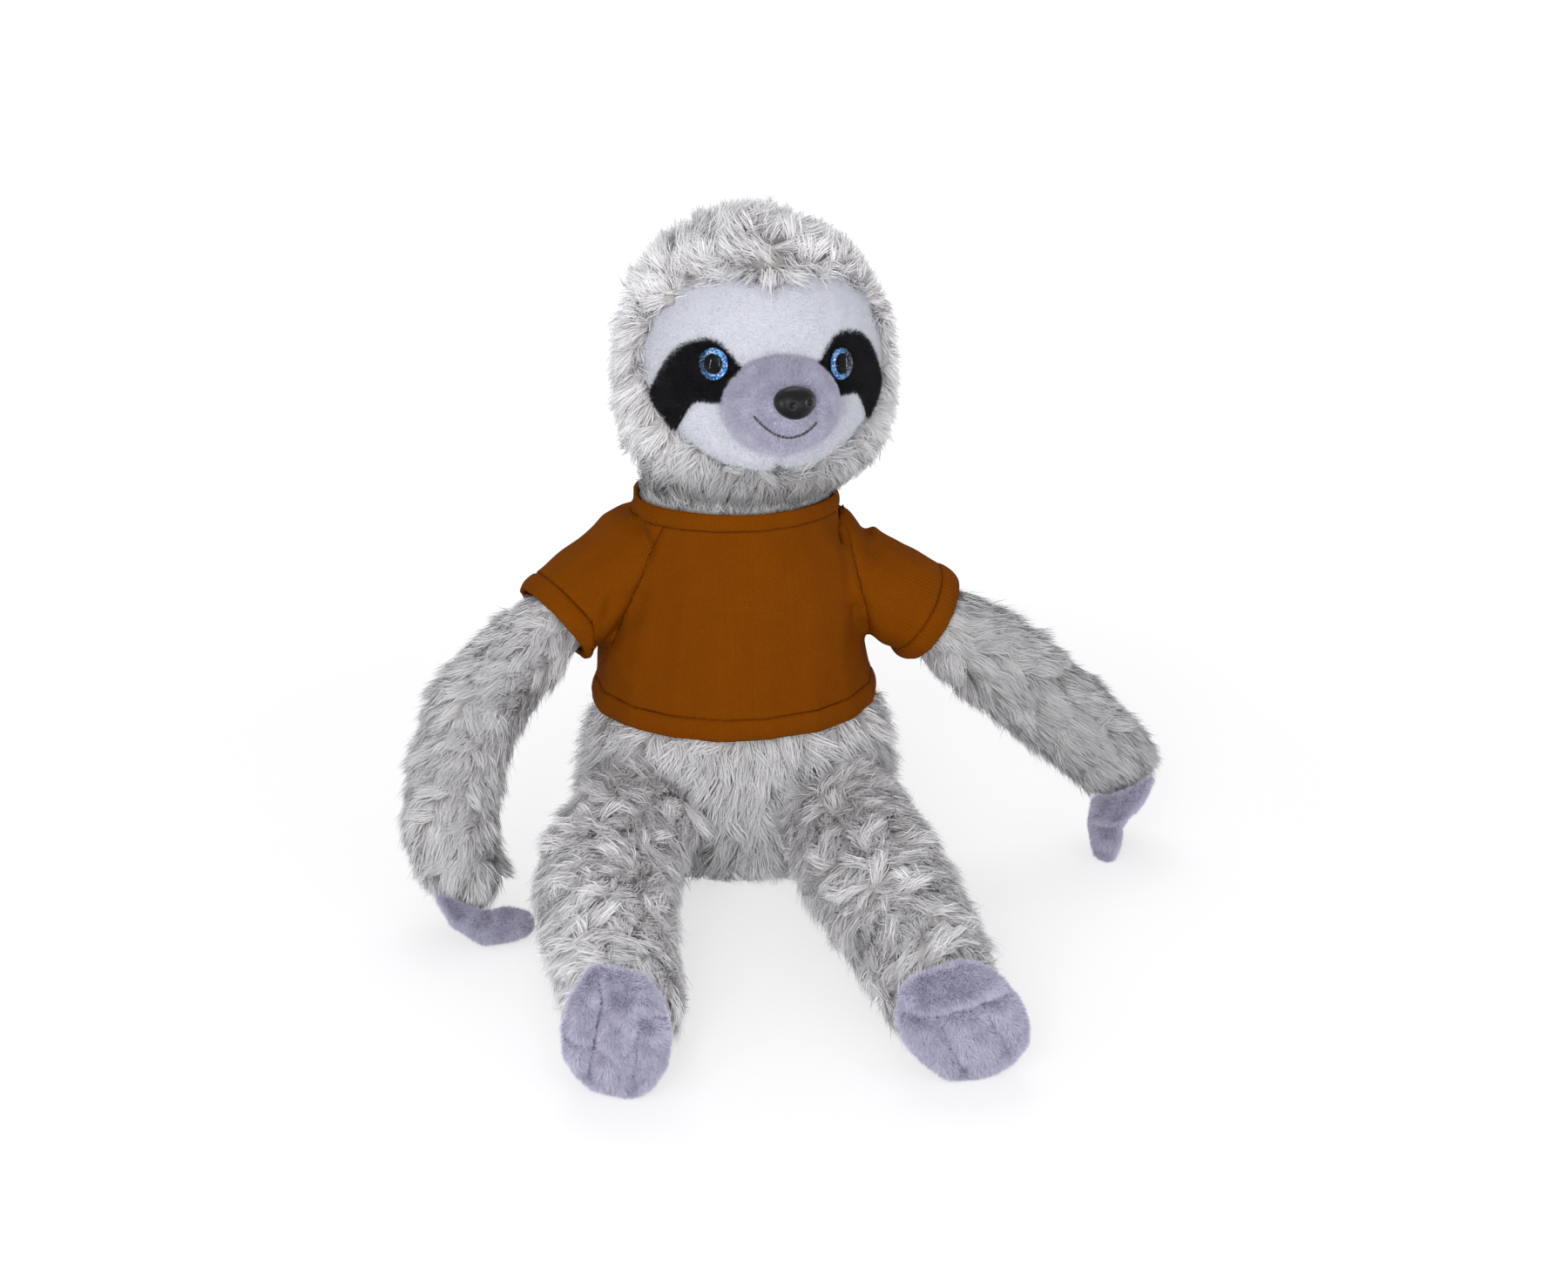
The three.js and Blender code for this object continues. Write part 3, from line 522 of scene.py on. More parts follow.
def along(path, places):
    """For each place, how far along a path the nearest point is, how far off, the way there and the point."""
    path = np.array(path, float)
    dense = [np.linspace(a, b, 16, endpoint=False) for a, b in zip(path, path[1:])]
    dense = np.concatenate(dense + [path[-1:]])
    run = np.concatenate([[0], np.cumsum(np.linalg.norm(np.diff(dense, axis=0), axis=1))])
    ways = unit(np.gradient(dense, axis=0))
    apart = np.linalg.norm(places[:, None] - dense[None], axis=2)
    nearest = apart.argmin(1)
    return run[nearest], apart.min(1), ways[nearest], dense[nearest]


leg_paths = {
    "right": [(-36, -30, 28), (-55, -69.6, 27.3), (-62.4, -110.9, 26.9), (-61.6, -151.3, 25.4),
              (-58.3, -189.2, 21.1)],
    "left": [(36, -30, 28), (39.3, -69.6, 27.3), (44.3, -110.9, 26.9), (50.5, -151.3, 25.4),
             (55.5, -189.2, 21.1)],
}
leg_room = 22               # no pile of the torso grows this near to a leg's middle


def hem_level(places):
    return hem_middle + hem_slope * places[:, 1]


def torso_keep(places, normals):
    clear = np.minimum(*(along(path, places)[1] for path in leg_paths.values())) > leg_room
    under = (normals[:, 2] < -0.8) & (places[:, 2] < 4)
    return (places[:, 2] < hem_level(places) + 1) & clear & ~under


def torso_comb(places, normals):
    return np.array([0, 0, -0.95]) + 0.25 * np.sign(places[:, :1]) * [1, 0, 0]


def torso_shape(places):
    """Just under the hem the pile is pressed flat by the shirt."""
    free = grade(hem_level(places) - places[:, 2], 0, 9)[:, None]
    return np.ones((len(places), 1)), 0.3 + 0.7 * free


def collar_pull(places):
    """How far the shirt, and the neck with it, is pulled to the toy's right near the collar."""
    return 3.6 * eased(grade(places[:, 2], 134, 147))


torso_skin = skin_piece("torso_skin", ["torso_fur", "torso_filling"], "torso")
places = places_of(torso_skin)
places[:, 0] -= collar_pull(places) * np.where(places[:, 0] < 0, 5 / 3, 1)
set_places(torso_skin, places)
torso_pile = pelt("torso_pile", torso_skin, 62000, 15.0, torso_keep, torso_comb, 11, rise=0.75,
                  shape=torso_shape)
places = places_of(torso_pile)
places[:, 2] = np.minimum(places[:, 2], hem_level(places) + 0.3)
set_places(torso_pile, places)
# The torso's share is painted shade, a little darker than the plain pile.
coat(torso_pile, "torso", 0.98)


def neck_keep(places, normals):
    return places[:, 2] > collar_seam - 2


def neck_comb(places, normals):
    inward = np.concatenate([-places[:, :2], np.zeros((len(places), 1))], 1)
    return -0.6 * unit(inward) + np.array([0, 0, 1.0])


def hold(piece, middle, across, deep, below, fade):
    """Holds the low part of a pile inside an upright oval."""
    places = places_of(piece)
    share = grade(places[:, 2], below, below - fade)
    out = np.maximum(np.hypot((places[:, 0] - middle) / across, places[:, 1] / deep), 1)
    held = [middle, 0] + (places[:, :2] - [middle, 0]) / out[:, None]
    places[:, :2] += share[:, None] * (held - places[:, :2])
    set_places(piece, places)


neck_pile = pelt("neck_pile", torso_skin, 15000, 13.0, neck_keep, neck_comb, 12, rise=0.9)
hold(neck_pile, -1.2, 39.2, 33.2, 162, 2)
# The neck's share is painted shade, where it lies under the chin and inside the collar.
coat(neck_pile, "torso", 0.68)


# Legs
# Stuffed tubes of the same plush, sewn in at the hips and laid forward. Their pile lies across and
# along them, pressed flat under their own weight.
def leg_comb(side):
    def comb(places, normals):
        return 0.35 * along(leg_paths[side], places)[2] + np.array([0.35 * signs[side], 0, -0.45])
    return comb


def leg_keep(places, normals):
    inside = ((places[:, 0] / 58) ** 2 + (places[:, 1] / 44) ** 2 < 1) & (places[:, 2] < 60)
    return ~inside & ~((normals[:, 2] < -0.75) & (places[:, 2] < 3))


# Each leg's share is painted light: its pile is made lighter, the right leg's more.
for side, seed, shade in (("right", 21, 1.14), ("left", 22, 1.05)):
    skin = skin_piece(f"leg_skin_{side}", [f"leg_fur_{side}", f"leg_filling_{side}"], f"{side}_leg")
    pile = pelt(f"leg_pile_{side}", skin, 62000, 12.5, leg_keep, leg_comb(side), seed, swirl=0.65)
    coat(pile, f"{side}_leg", shade)


# Arms
# Longer, thinner tubes of the same plush. They come out of the sleeves, and their pile runs down them.
arm_paths = {
    "right": [(-40, 0, 129), (-74.4, -11, 105), (-99.2, -27, 83.5), (-113, -47, 60), (-116.5, -63, 40),
              (-113.6, -73, 21.5)],
    "left": [(40, 0, 121.5), (78.4, -8, 99.4), (105.9, -11, 80.2), (130.4, -11, 59.4),
             (151.2, -11, 40.6), (161.3, -11.5, 31.1)],
}
cuffs = {                   # the middle of each sleeve's open end, and the way that it faces
    "right": (np.array([-76.5, -11.9, 103.4]), unit(np.array([-0.745, -0.34, -0.573]))),
    "left": (np.array([79.2, -8.1, 98.9]), unit(np.array([0.839, 0.10, -0.526]))),
}
arm_backing = 3.9           # the pile is longest against the arms' thin tubes
armpits = {"right": 0.25, "left": 0.42}     # the share by which each arm is drawn in at its armpit
wrist_short = {"right": 4.5, "left": 7.5}   # how far each wrist is drawn back into its pile


def arm_comb(side):
    def comb(places, normals):
        return 0.75 * along(arm_paths[side], places)[2] + np.array([0.45 * signs[side], -0.1, -0.25])
    return comb


def arm_keep(side):
    def keep(places, normals):
        return (places - cuffs[side][0]) @ cuffs[side][1] > -3
    return keep


def arm_shape(side):
    """The cuff presses the pile flat where it comes out."""
    def shape(places):
        free = grade((places - cuffs[side][0]) @ cuffs[side][1], 0, 9)[:, None]
        return 0.85 + 0.15 * free, 0.2 + 0.8 * free
    return shape


def in_sleeve(side, places):
    """Draws an arm in where it goes into its sleeve, most at the armpit."""
    run, _, way, axis = along(arm_paths[side], places)
    down = unit(np.array([0, 0, -1.0]) + way[:, 2:3] * way)
    off = ((places - axis) * down).sum(1)
    armpit = armpits[side] * grade(run, 42, 16)
    shoulder = 0.16 * grade(run, 26, 6)
    return places - (off * np.where(off > 0, armpit, shoulder))[:, None] * down


def outwards(places):
    """Swings the middle of the right arm out from the body."""
    share = grade(places[:, 2], 10, 34) * grade(places[:, 2], 106, 80)
    return places - [1, 0, 0] * (3.8 * eased(share))[:, None]


# Each arm's share is painted shade: its pile is made darker, the left arm's much more.
for side, seed, shade in (("right", 31, 0.93), ("left", 32, 0.74)):
    path = arm_paths[side]
    nodes = [f"arm_fur_{side}", f"arm_filling_{side}"]
    skin = skin_piece(f"arm_skin_{side}", nodes, f"{side}_arm", arm_backing)
    places = in_sleeve(side, places_of(skin))
    if side == "right":
        places = outwards(places)
    run, _, _, axis = along(path, places)
    places = axis + (places - axis) * (1 - 0.5 * grade(run, 28, 14))[:, None]
    run, _, way, _ = along(path, places)
    end = sum(math.dist(a, b) for a, b in zip(path, path[1:]))
    places = places - way * (wrist_short[side] * grade(run, end - 16, end))[:, None]
    set_places(skin, places)
    pile = pelt(f"arm_pile_{side}", skin, 54000, 12.0, arm_keep(side), arm_comb(side), seed, tuft=5.8,
                rise=0.5, shape=arm_shape(side))
    coat(pile, f"{side}_arm", shade)


# Head
# A stuffed ball of the same plush with full cheeks, turned a little to its left. The pile stands up on
# the crown, fans out at the cheeks, hangs under the chin, and stops at the face's seam.
head_centre = np.array([6.5, -1, 209])
head_half = np.array([51, 47, 54.5])
head_turn = math.radians(7)
crown_roundness = 2.1
cheek_roundness = 3
brow_height = 39            # where the pile comes down in a point over the brow
face_rise = 3               # from the head's middle up to the face's
face_half = [48.5, 37.5]
face_points = [(0, 0.88), (0.10, 0.94), (0.30, 1), (0.62, 0.90), (0.88, 0.58), (1, 0.12), (0.93, -0.30),
               (0.76, -0.60), (0.45, -0.88), (0.12, -0.99), (0, -0.95)]


def head_to_world(points):
    c, s = math.cos(head_turn), math.sin(head_turn)
    x, y, z = np.moveaxis(np.asarray(points, float), -1, 0)
    return np.stack([c * x - s * y, s * x + c * y, z], -1) + head_centre


def world_to_head(points):
    c, s = math.cos(head_turn), math.sin(head_turn)
    x, y, z = np.moveaxis(np.asarray(points, float) - head_centre, -1, 0)
    return np.stack([c * x + s * y, c * y - s * x, z], -1)


def on_face(x, z, offset):
    """The place on the front of the head, at a distance sideways and up from its middle."""
    x, z = np.broadcast_arrays(np.asarray(x, float), np.asarray(z, float))
    roundness = np.where(z > 0, crown_roundness, cheek_roundness)
    level = (1 - np.clip(np.abs(z) / (head_half[2] + offset), 0, 1) ** roundness) ** (1 / roundness)
    width = np.maximum(level * (head_half[0] + offset), 0.001)
    y = -level * (head_half[1] + offset) * np.sqrt(np.clip(1 - (x / width) ** 2, 0, 1))
    return np.stack([x, y, z], -1)


def outline(points, per_side=14):
    """A smooth closed line through points."""
    points = np.array(points, float)
    before, after, later = (np.roll(points, shift, 0) for shift in (1, -1, -2))
    t = np.linspace(0, 1, per_side, endpoint=False)[None, :, None]
    a, b, c, d = (p[:, None] for p in (before, points, after, later))
    line = 2 * b + (c - a) * t + (2 * a - 5 * b + 4 * c - d) * t**2 + (3 * b - a - 3 * c + d) * t**3
    return line.reshape(-1, 2) / 2


def mirrored(points):
    return [(-u, v) for u, v in reversed(points)]


face_line = outline(face_points + mirrored(face_points)[1:-1]) * face_half + [0, face_rise]


def within(line, points, shrink=1.0):
    """Which points are inside a closed line."""
    middle = line.mean(0)
    line = middle + (line - middle) * shrink
    following = np.roll(line, -1, 0)
    x, y = points[:, :1], points[:, 1:2]
    crosses = (line[:, 1] > y) != (following[:, 1] > y)
    at = (following[:, 0] - line[:, 0]) * (y - line[:, 1]) / (following[:, 1] - line[:, 1] + 1e-12) + line[:, 0]
    return (crosses & (x < at)).sum(1) % 2 == 1


def head_keep(places, normals):
    """Pile grows all over the head but the face, and thicker along the face's seam."""
    local = world_to_head(places)
    face, edge = (within(face_line, local[:, [0, 2]], size) & (local[:, 1] < 0) for size in (0.985, 1.14))
    return (~face & (places[:, 2] > 156)) * (1 + 1.3 * edge)


def at_brow(local, width, height):
    return hump(local[:, :1], 0, width) * hump(local[:, 2:3], brow_height, height) * (local[:, 1:2] < 0)


def head_comb(places, normals):
    local = world_to_head(places)
    height = np.clip(local[:, 2:3] / head_half[2], -1, 1)
    crown = np.clip(height * 1.6 - 0.2, 0, 1)
    front = grade(local[:, 1:2], 0, -head_half[1])
    side = np.sign(local[:, :1]) * [1, 0, 0]
    crown_way = 0.3 * side * np.abs(unit(local)[:, :1]) + np.array([0, 0.05, 0.55])
    brow = at_brow(local, 13, 7.5)
    crown_way = crown_way * (1 - brow) + brow * np.array([0, 0, -1.6])
    cheek_way = np.array([0, 0, -0.75]) + 0.25 * side + 0.35 * front * np.array([0, 1.0, 0])
    return crown * crown_way + (1 - crown) * cheek_way


def head_shape(places):
    """Longer and more upright on the crown, short and flat under the chin, where the collar holds it."""
    local = world_to_head(places)
    height = local[:, 2:3]
    crown = grade(height, 0, 40)
    chin = grade(height, -24, -40)
    brow = at_brow(local, 10, 6)
    slope = grade(local[:, :1], 4, 24) * crown
    scale = 1 + 0.05 * crown - 0.2 * slope - 0.1 * chin + 0.2 * brow
    return scale, (1 + 0.3 * crown - 0.6 * chin) * (1 - 0.45 * brow)


head_skin = skin_piece("head_skin", ["head_fur", "head_filling"], "head")
head_pile = pelt("head_pile", head_skin, 64000, 13.5, head_keep, head_comb, 41, tuft=5.4, rise=0.62,
                 stray=0.25, pull=(0.16, 0.52), shape=head_shape, swirl=0.42)
hold(head_pile, 0.5, 43, 35, 165, 8)
places = places_of(head_pile)
places[:, 2] = np.maximum(places[:, 2], collar_top + 0.8)
set_places(head_pile, places)
# The head's share is painted light, as if lit from above, and neck adds painted shade under the chin.
coat(head_pile, "head", 1.18, neck=0.72)


# Face panel
# Short white velvety plush, sewn to the fur along a smooth line with a point in the brow and a dart at
# the chin, and stretched over the filling.
muzzle_half = np.array([22.5, 29, 19])
muzzle_centre = np.array([0, -44, -6.2])


def rolled(name, rings):
    """A grid rolled into a closed form through rings of points, its side edges and its poles welded."""
    rings = np.asarray(rings, float)
    rows, around = rings.shape[:2]
    select_only()
    bpy.ops.mesh.primitive_grid_add(x_subdivisions=around, y_subdivisions=rows - 1, size=1)
    piece = bpy.context.object
    piece.name = piece.data.name = name
    set_places(piece, np.concatenate([rings, rings[:, :1]], axis=1).reshape(-1, 3))
    edit(piece)
    bpy.ops.mesh.remove_doubles(threshold=0.000005)
    bpy.ops.mesh.normals_make_consistent(inside=False)
    done()
    piece.data.shade_smooth()
    return piece


def sewn_patch(name, line, middle, top, depth, rounding, shape=None):
    """A patch of plush on the head: its line in the face's plane, its middle, and its top over the head."""
    rings = []
    for share in [0, *np.linspace(0.04, 1, 26)]:
        flat = middle + (line - middle) * share
        edge = np.linalg.norm(line - flat, axis=1)
        level = top - depth * grade(edge, rounding, 0) ** 2
        if shape is not None:
            level = level + shape(flat)
        rings.append(on_face(flat[:, 0], flat[:, 1], 0) + [0, -1, 0] * level[:, None])
    for share in (0.985, 0.5, 0):
        flat = middle + (line - middle) * share
        rings.append(on_face(flat[:, 0], flat[:, 1], top - depth - 1.2))
    return rolled(name, head_to_world(np.array(rings)))


def velvet_material(name, colour, shade, bump_depth=0.5, sheen=0.25):
    """Short velvety pile: soft patches where it lies over, and a fine grain of tips."""
    made, shader = material(name, 0.85, Sheen_Weight=sheen, Sheen_Roughness=0.45, Specular_IOR_Level=0.2)
    spots = mottled(shader, 7, 0.5)
    lying = shader.weighted((spots["Cloud"], 0.75), (spots["Grain"], 0.55), plus=-0.15)
    shader.feed("Base Color", shader.mix(lying, shade, colour))
    shader.bump(0.7, bump_depth, spots["Height"])
    return made


def nap(name, skin, count, length, keep, seed, comb=(0, 0, -0.5), width=0.3, rise=1.0, shade=None):
    """Short pile: one small blade for each tuft, leaning the way it was brushed and drifting in patches."""
    rng = np.random.default_rng(seed)
    roots, normals = sown(skin, count, keep, rng)
    drift = noisy(roots / 6, noise.noise_vector)
    ways = unit(normals * rise + np.array(comb) + 0.5 * drift + 0.3 * rng.normal(size=(count, 3)))
    tips = roots + ways * length * rng.uniform(0.6, 1.15, (count, 1))
    bends = np.stack([roots - normals * 0.2, tips], 1)
    sides = unit(np.cross(ways, normals + 0.8 * rng.normal(size=(count, 3))))
    widths = width * rng.uniform(0.7, 1.3, count)
    tones = 0.58 * rng.random(count) + 0.17 * np.clip(0.5 + drift[:, 0], 0, 1)
    # A given shade function adds to the blades' tone; on the muzzle it is painted sheen and light.
    tones += 0.1 if shade is None else 0.2 * shade(roots)
    return strands(name, bends, widths, np.array([[1, 0]]), sides, tones)


def blade_material(name, low, high):
    """The blades of a short pile, shaded at the root."""
    made, shader = material(name, 0.8, Specular_IOR_Level=0.2)
    blade = shader.parts(shader.chart())
    shader.feed("Base Color", shader.mix(shader.weighted((blade[0], 0.4), (blade[1], 0.75)), low, high))
    return made


def facing_out(places, normals):
    """The outer side of a patch on the face."""
    turned = world_to_head(normals + head_centre)
    return (turned * unit(world_to_head(places))).sum(1) > 0.2


def face_shape(flat):
    """The dart at the chin, the full cheeks, the seam round the muzzle and the fold on each side of it."""
    x, z = flat[:, 0], flat[:, 1]
    dart = -1.6 * hump(x, 0, 1.6) * grade(z, -18, -30)
    cheeks = 1.8 * hump(np.abs(x), 24, 11) * hump(z, -17, 11)
    from_muzzle = np.hypot(x / muzzle_half[0], (z - muzzle_centre[2]) / muzzle_half[2]) - 1.0
    seam = -1.2 * hump(from_muzzle, 0, 0.10)
    fold = -1.1 * hump(from_muzzle - 0.012 * z, 0.34, 0.07) * grade(z, -22, -14) * (z < 0) * (x > 0)
    fold -= 0.8 * hump(from_muzzle, 0.20, 0.08) * grade(z, -24, -16) * (z < -2) * (x < 0)
    return dart + cheeks + seam + fold


face_white = velvet_material("white_velvet", paint(216, 217, 225), paint(204, 205, 214))
face_blades = blade_material("white_velvet_tips", paint(203, 205, 214), paint(226, 228, 235))
face_panel = sewn_patch("face_panel_plush", face_line, np.array([0, 1.5]), 1.7, 2.4, 5.0, face_shape)
finish(face_panel, face_white, "head", "face", "face_panel")
finish(nap("face_nap", face_panel, 60000, 1.0, facing_out, 51, width=0.22), face_blades, "head", "face")


# Eye patches
# Black short plush, sewn in on each side of the muzzle. They widen round the eye and run down to the
# face's edge.
patch_side = 30
patch_drop = 1.5
patch_half = np.array([16, 19])
patch_points = [(-0.50, 0.98), (0.12, 1), (0.62, 0.58), (0.98, -0.22), (0.92, -0.72), (0.62, -1),
                (0.42, -0.62), (0.10, -0.20), (-0.50, -0.12), (-0.98, 0.30)]
patch_steps = 71            # how finely the line is drawn in towards the middle, until it lies in the face
patch_black = velvet_material("black_velvet", paint(24, 24, 26), paint(12, 12, 13), sheen=0.15)
patch_blades = blade_material("black_velvet_tips", paint(10, 10, 11), paint(42, 42, 46))
for side, sign in signs.items():
    line = outline(patch_points if sign > 0 else mirrored(patch_points))
    line = line * patch_half + [sign * patch_side, -patch_drop]
    middle = np.array([sign * (patch_side - 0.5), 4.0])
    towards = middle + (line - middle) * np.linspace(1, 0.3, patch_steps)[:, None, None]
    inside = within(face_line, towards.reshape(-1, 2), 0.995).reshape(patch_steps, -1)
    line = towards[inside.argmax(0), np.arange(len(line))]
    patch = sewn_patch(f"eye_patch_{side}_plush", line, middle, 2.5, 1.6, 2.2)
    finish(patch, patch_black, "head", "black", f"eye_patch_{side}")
    tips = nap(f"eye_patch_{side}_nap", patch, 24000, 2.1, facing_out, 52 + sign, width=0.26)
    finish(tips, patch_blades, "head", "black")


# Eyes
# Clear plastic safety eyes: a domed lens over a black pupil, and a ring of blue glitter under its rim.
# A strip lamp for each, seen only as its glint, stands where the lens mirrors it to the camera.
eye_radius = 6.15
eye_dome = 3.0
eye_rim = 0.3
eye_sideways, eye_up = math.radians(41), math.radians(6)
pupil_radius = 3.75
glint_distance = 620
lens_clear, shader = material("clear_plastic", 0.03, IOR=1.2, Transmission_Weight=1.0)
shader.feed("Roughness", shader.weighted((mottled(shader, 4, 0.4)["Grain"], 0.04), plus=0.01))
pupil_black, shader = material("pupil_black", 0.6, Specular_IOR_Level=0.0)
shader.feed("Base Color", shader.mix(mottled(shader, 3, 0.5)["Cloud"], paint(4, 4, 5), paint(11, 11, 13)))
glitter_blue, shader = material("blue_glitter", 0.5, Specular_IOR_Level=0.1)
flakes = shader.add("ShaderNodeTexVoronoi", {"Vector": shader.place(), "Scale": 1 / (0.42 * mm)})
flake = shader.parts(flakes.outputs["Color"])
shader.feed("Base Color", shader.ramp(flake[0], [
    (0.0, paint(12, 50, 116)), (0.45, paint(28, 98, 182)), (0.7, paint(72, 156, 226)),
    (0.84, paint(160, 214, 248)), (1.0, paint(250, 254, 255))]))
shader.bump(0.9, 0.3, flake[1])


def spun(name, profile, place, way, around=64):
    """A profile of radius and height turned about an axis on the head."""
    side = unit(np.cross([0, 0, 1.0], way))
    up = np.cross(way, side)
    turn = np.linspace(0, 2 * math.pi, around, endpoint=False)[:, None]
    rings = [place + way * h + r * (np.cos(turn) * side + np.sin(turn) * up) for r, h in profile]
    return rolled(name, head_to_world(np.array(rings)))


dome_angles = np.linspace(0, math.pi / 2, 14)
lens_profile = [(0, -1.7), (3, -1.7), (eye_radius - 0.3, -1.7), (eye_radius, -1.5)]
lens_profile += [(eye_radius * math.cos(a), eye_rim + eye_dome * math.sin(a)) for a in dome_angles]
ring_profile = [(pupil_radius, -0.6), (pupil_radius, -0.15), (pupil_radius + 0.2, -0.05),
                (eye_radius - 0.55, -0.05), (eye_radius - 0.3, -0.2), (eye_radius - 0.3, -0.9),
                (pupil_radius, -0.9)]
pupil_profile = [(0, -0.5), (pupil_radius - 0.6, -0.5), (pupil_radius - 0.1, -0.6),
                 (pupil_radius - 0.1, -1.4), (0, -1.4)]
for side, sign in signs.items():
    way = unit(np.array([math.sin(sign * eye_sideways) * math.cos(eye_up),
                         -math.cos(eye_sideways) * math.cos(eye_up), math.sin(eye_up)]))
    seat = on_face(sign * 24.6 - 0.5, 9.0 - sign * 1.3, 2.8) + way * 0.8
    finish(spun(f"eye_lens_{side}", lens_profile, seat, way), lens_clear, "head", "lens", f"eye_{side}")
    finish(spun(f"eye_ring_{side}", ring_profile, seat, way), glitter_blue, "head", "glitter",
           f"eye_glitter_{side}")
    finish(spun(f"eye_pupil_{side}", pupil_profile, seat, way), pupil_black, "head", "black")
    middle = head_to_world(seat)
    to_camera = unit(np.array(camera.location) / mm - middle)
    mirror = unit(unit(head_to_world(seat + way) - middle) + 0.1 * to_camera)
    to_lamp = 2 * mirror.dot(to_camera) * mirror - to_camera
    glint = soft_light(f"eye_strip_{side}", middle + to_lamp * glint_distance, 60, 1.6, height=330)
    glint.visible_diffuse = False


# Muzzle
# A lilac dome of short velvety plush, stuffed firm and sewn to the face round its edge.
lilac_velvet = velvet_material("lilac_velvet", paint(198, 196, 216), paint(172, 170, 192), bump_depth=0.7,
                               sheen=0.6)
lilac_blades = blade_material("lilac_velvet_tips", paint(150, 147, 171), paint(224, 222, 238))


def ball(name, segments, rings):
    """A piece that starts as a sphere with its poles at the front and the back, and its places on it."""
    select_only()
    bpy.ops.mesh.primitive_uv_sphere_add(segments=segments, ring_count=rings, radius=mm)
    piece = bpy.context.object
    piece.name = piece.data.name = name
    return piece, places_of(piece)[:, [0, 2, 1]] * [1, -1, 1]


muzzle, local = ball("muzzle_plush", 112, 72)
set_places(muzzle, head_to_world(local * muzzle_half + muzzle_centre))
edit(muzzle)
bpy.ops.mesh.bisect(plane_co=Vector(head_to_world([0, -39, 0])) * mm,
                    plane_no=(-math.sin(head_turn), math.cos(head_turn), 0), use_fill=True, clear_outer=True)
done()
local = world_to_head(places_of(muzzle)) - muzzle_centre
dart = hump(local[:, 2] - 2 + 0.1 * (local[:, 0] + 20), 0, 1.1) * grade(local[:, 0], -15, -20)
set_places(muzzle, head_to_world(local * (1 - 0.03 * dart[:, None]) + muzzle_centre))
muzzle.data.shade_smooth()
finish(muzzle, lilac_velvet, "head", "lilac", "muzzle", "muzzle_filling")


def muzzle_front(places, normals):
    return world_to_head(places)[:, 1] < -43


def muzzle_painted_sheen(places):
    """Painted sheen and light: paler round the rim, where velvet catches a sheen, and painted light that makes
    it paler underneath.
    """
    local = (world_to_head(places) - muzzle_centre) / muzzle_half
    return np.clip(1.1 * np.hypot(local[:, 0], local[:, 2]) ** 2 - 0.25 * local[:, 2], 0, 1)


# The blades' tone carries painted sheen round the rim and painted light underneath.
muzzle_nap = nap("muzzle_nap", muzzle, 60000, 1.5, muzzle_front, 61, comb=(0, 0.3, -0.5), width=0.24,
                 shade=muzzle_painted_sheen)
finish(muzzle_nap, lilac_blades, "head", "lilac")


# Nose
# A black moulded plastic nose with a satin face and two moulded nostrils, held by a shank and washer.
nose_black, shader = material("black_moulding", 0.3, Specular_IOR_Level=0.16)
skin = mottled(shader, 5, 0.35)
shader.feed("Base Color", shader.mix(skin["Cloud"], paint(10, 10, 12), paint(22, 22, 26)))
shader.feed("Roughness", shader.weighted((skin["Grain"], 0.18), plus=0.22))
shader.bump(0.35, 0.12, skin["Grain"])
nose_half = np.array([8.1, 5.8, 6.2])
nose_lift = math.radians(20)
nose_centre = muzzle_centre + [0, -29 * math.sqrt(1 - (6.6 / 19) ** 2) - 0.2, 7.1]
nostrils = ((-0.26, -0.26), (0.54, -0.12))
nose, local = ball("nose_button", 96, 64)
x, y, z = local.T
front = y < 0
z[:] = np.where(z < 0, z * (1 + 0.05 * (1 - x**2)), z)
x *= 1 + 0.10 * np.clip(z, -1, 1)
for sideways, up in nostrils:
    y += front * 0.2 * np.exp(-np.hypot((x - sideways) / 0.13, (z - up) / 0.17) ** 2)
y += front * 0.05 * hump(x, 0, 0.10) * np.clip(-z, 0, 1)
local = local * nose_half
c, s = math.cos(nose_lift), math.sin(nose_lift)
local = np.stack([local[:, 0], c * local[:, 1] + s * local[:, 2], c * local[:, 2] - s * local[:, 1]], 1)
set_places(nose, head_to_world(local + nose_centre))
nose.data.shade_smooth()
finish(nose, nose_black, "head", "nose", "nose")


# Mouth
# A smile of black embroidery thread: a row of short stitches laid end to end on the muzzle.
thread_black, shader = material("black_thread", 0.6, Sheen_Weight=0.3)
twist = shader.add("ShaderNodeTexWave", {"Vector": shader.place(), "Scale": 1 / (2.2 * mm), "Distortion": 1.5},
                   bands_direction="DIAGONAL").outputs[1]
shader.feed("Base Color", shader.mix(twist, paint(10, 10, 12), paint(32, 32, 38)))
shader.bump(0.6, 0.15, twist)
smile_half, smile_dip, smile_ends, smile_side, smile_tilt = 11.6, 6.4, 0.1, 3.2, 1.2
thread_radius = 0.58
stitch_count = 15
stitch_lap = 0.12           # the share of a stitch by which it runs under the next


def smile_at(u):
    x, z = u * smile_half - smile_side, smile_ends - smile_dip * (1 - u * u) - smile_tilt * u
    y = -(muzzle_half[1] + 0.75) * math.sqrt(1 - (x / muzzle_half[0]) ** 2 - (z / muzzle_half[2]) ** 2)
    return Vector(head_to_world(np.array([x, y, z]) + muzzle_centre)) * mm


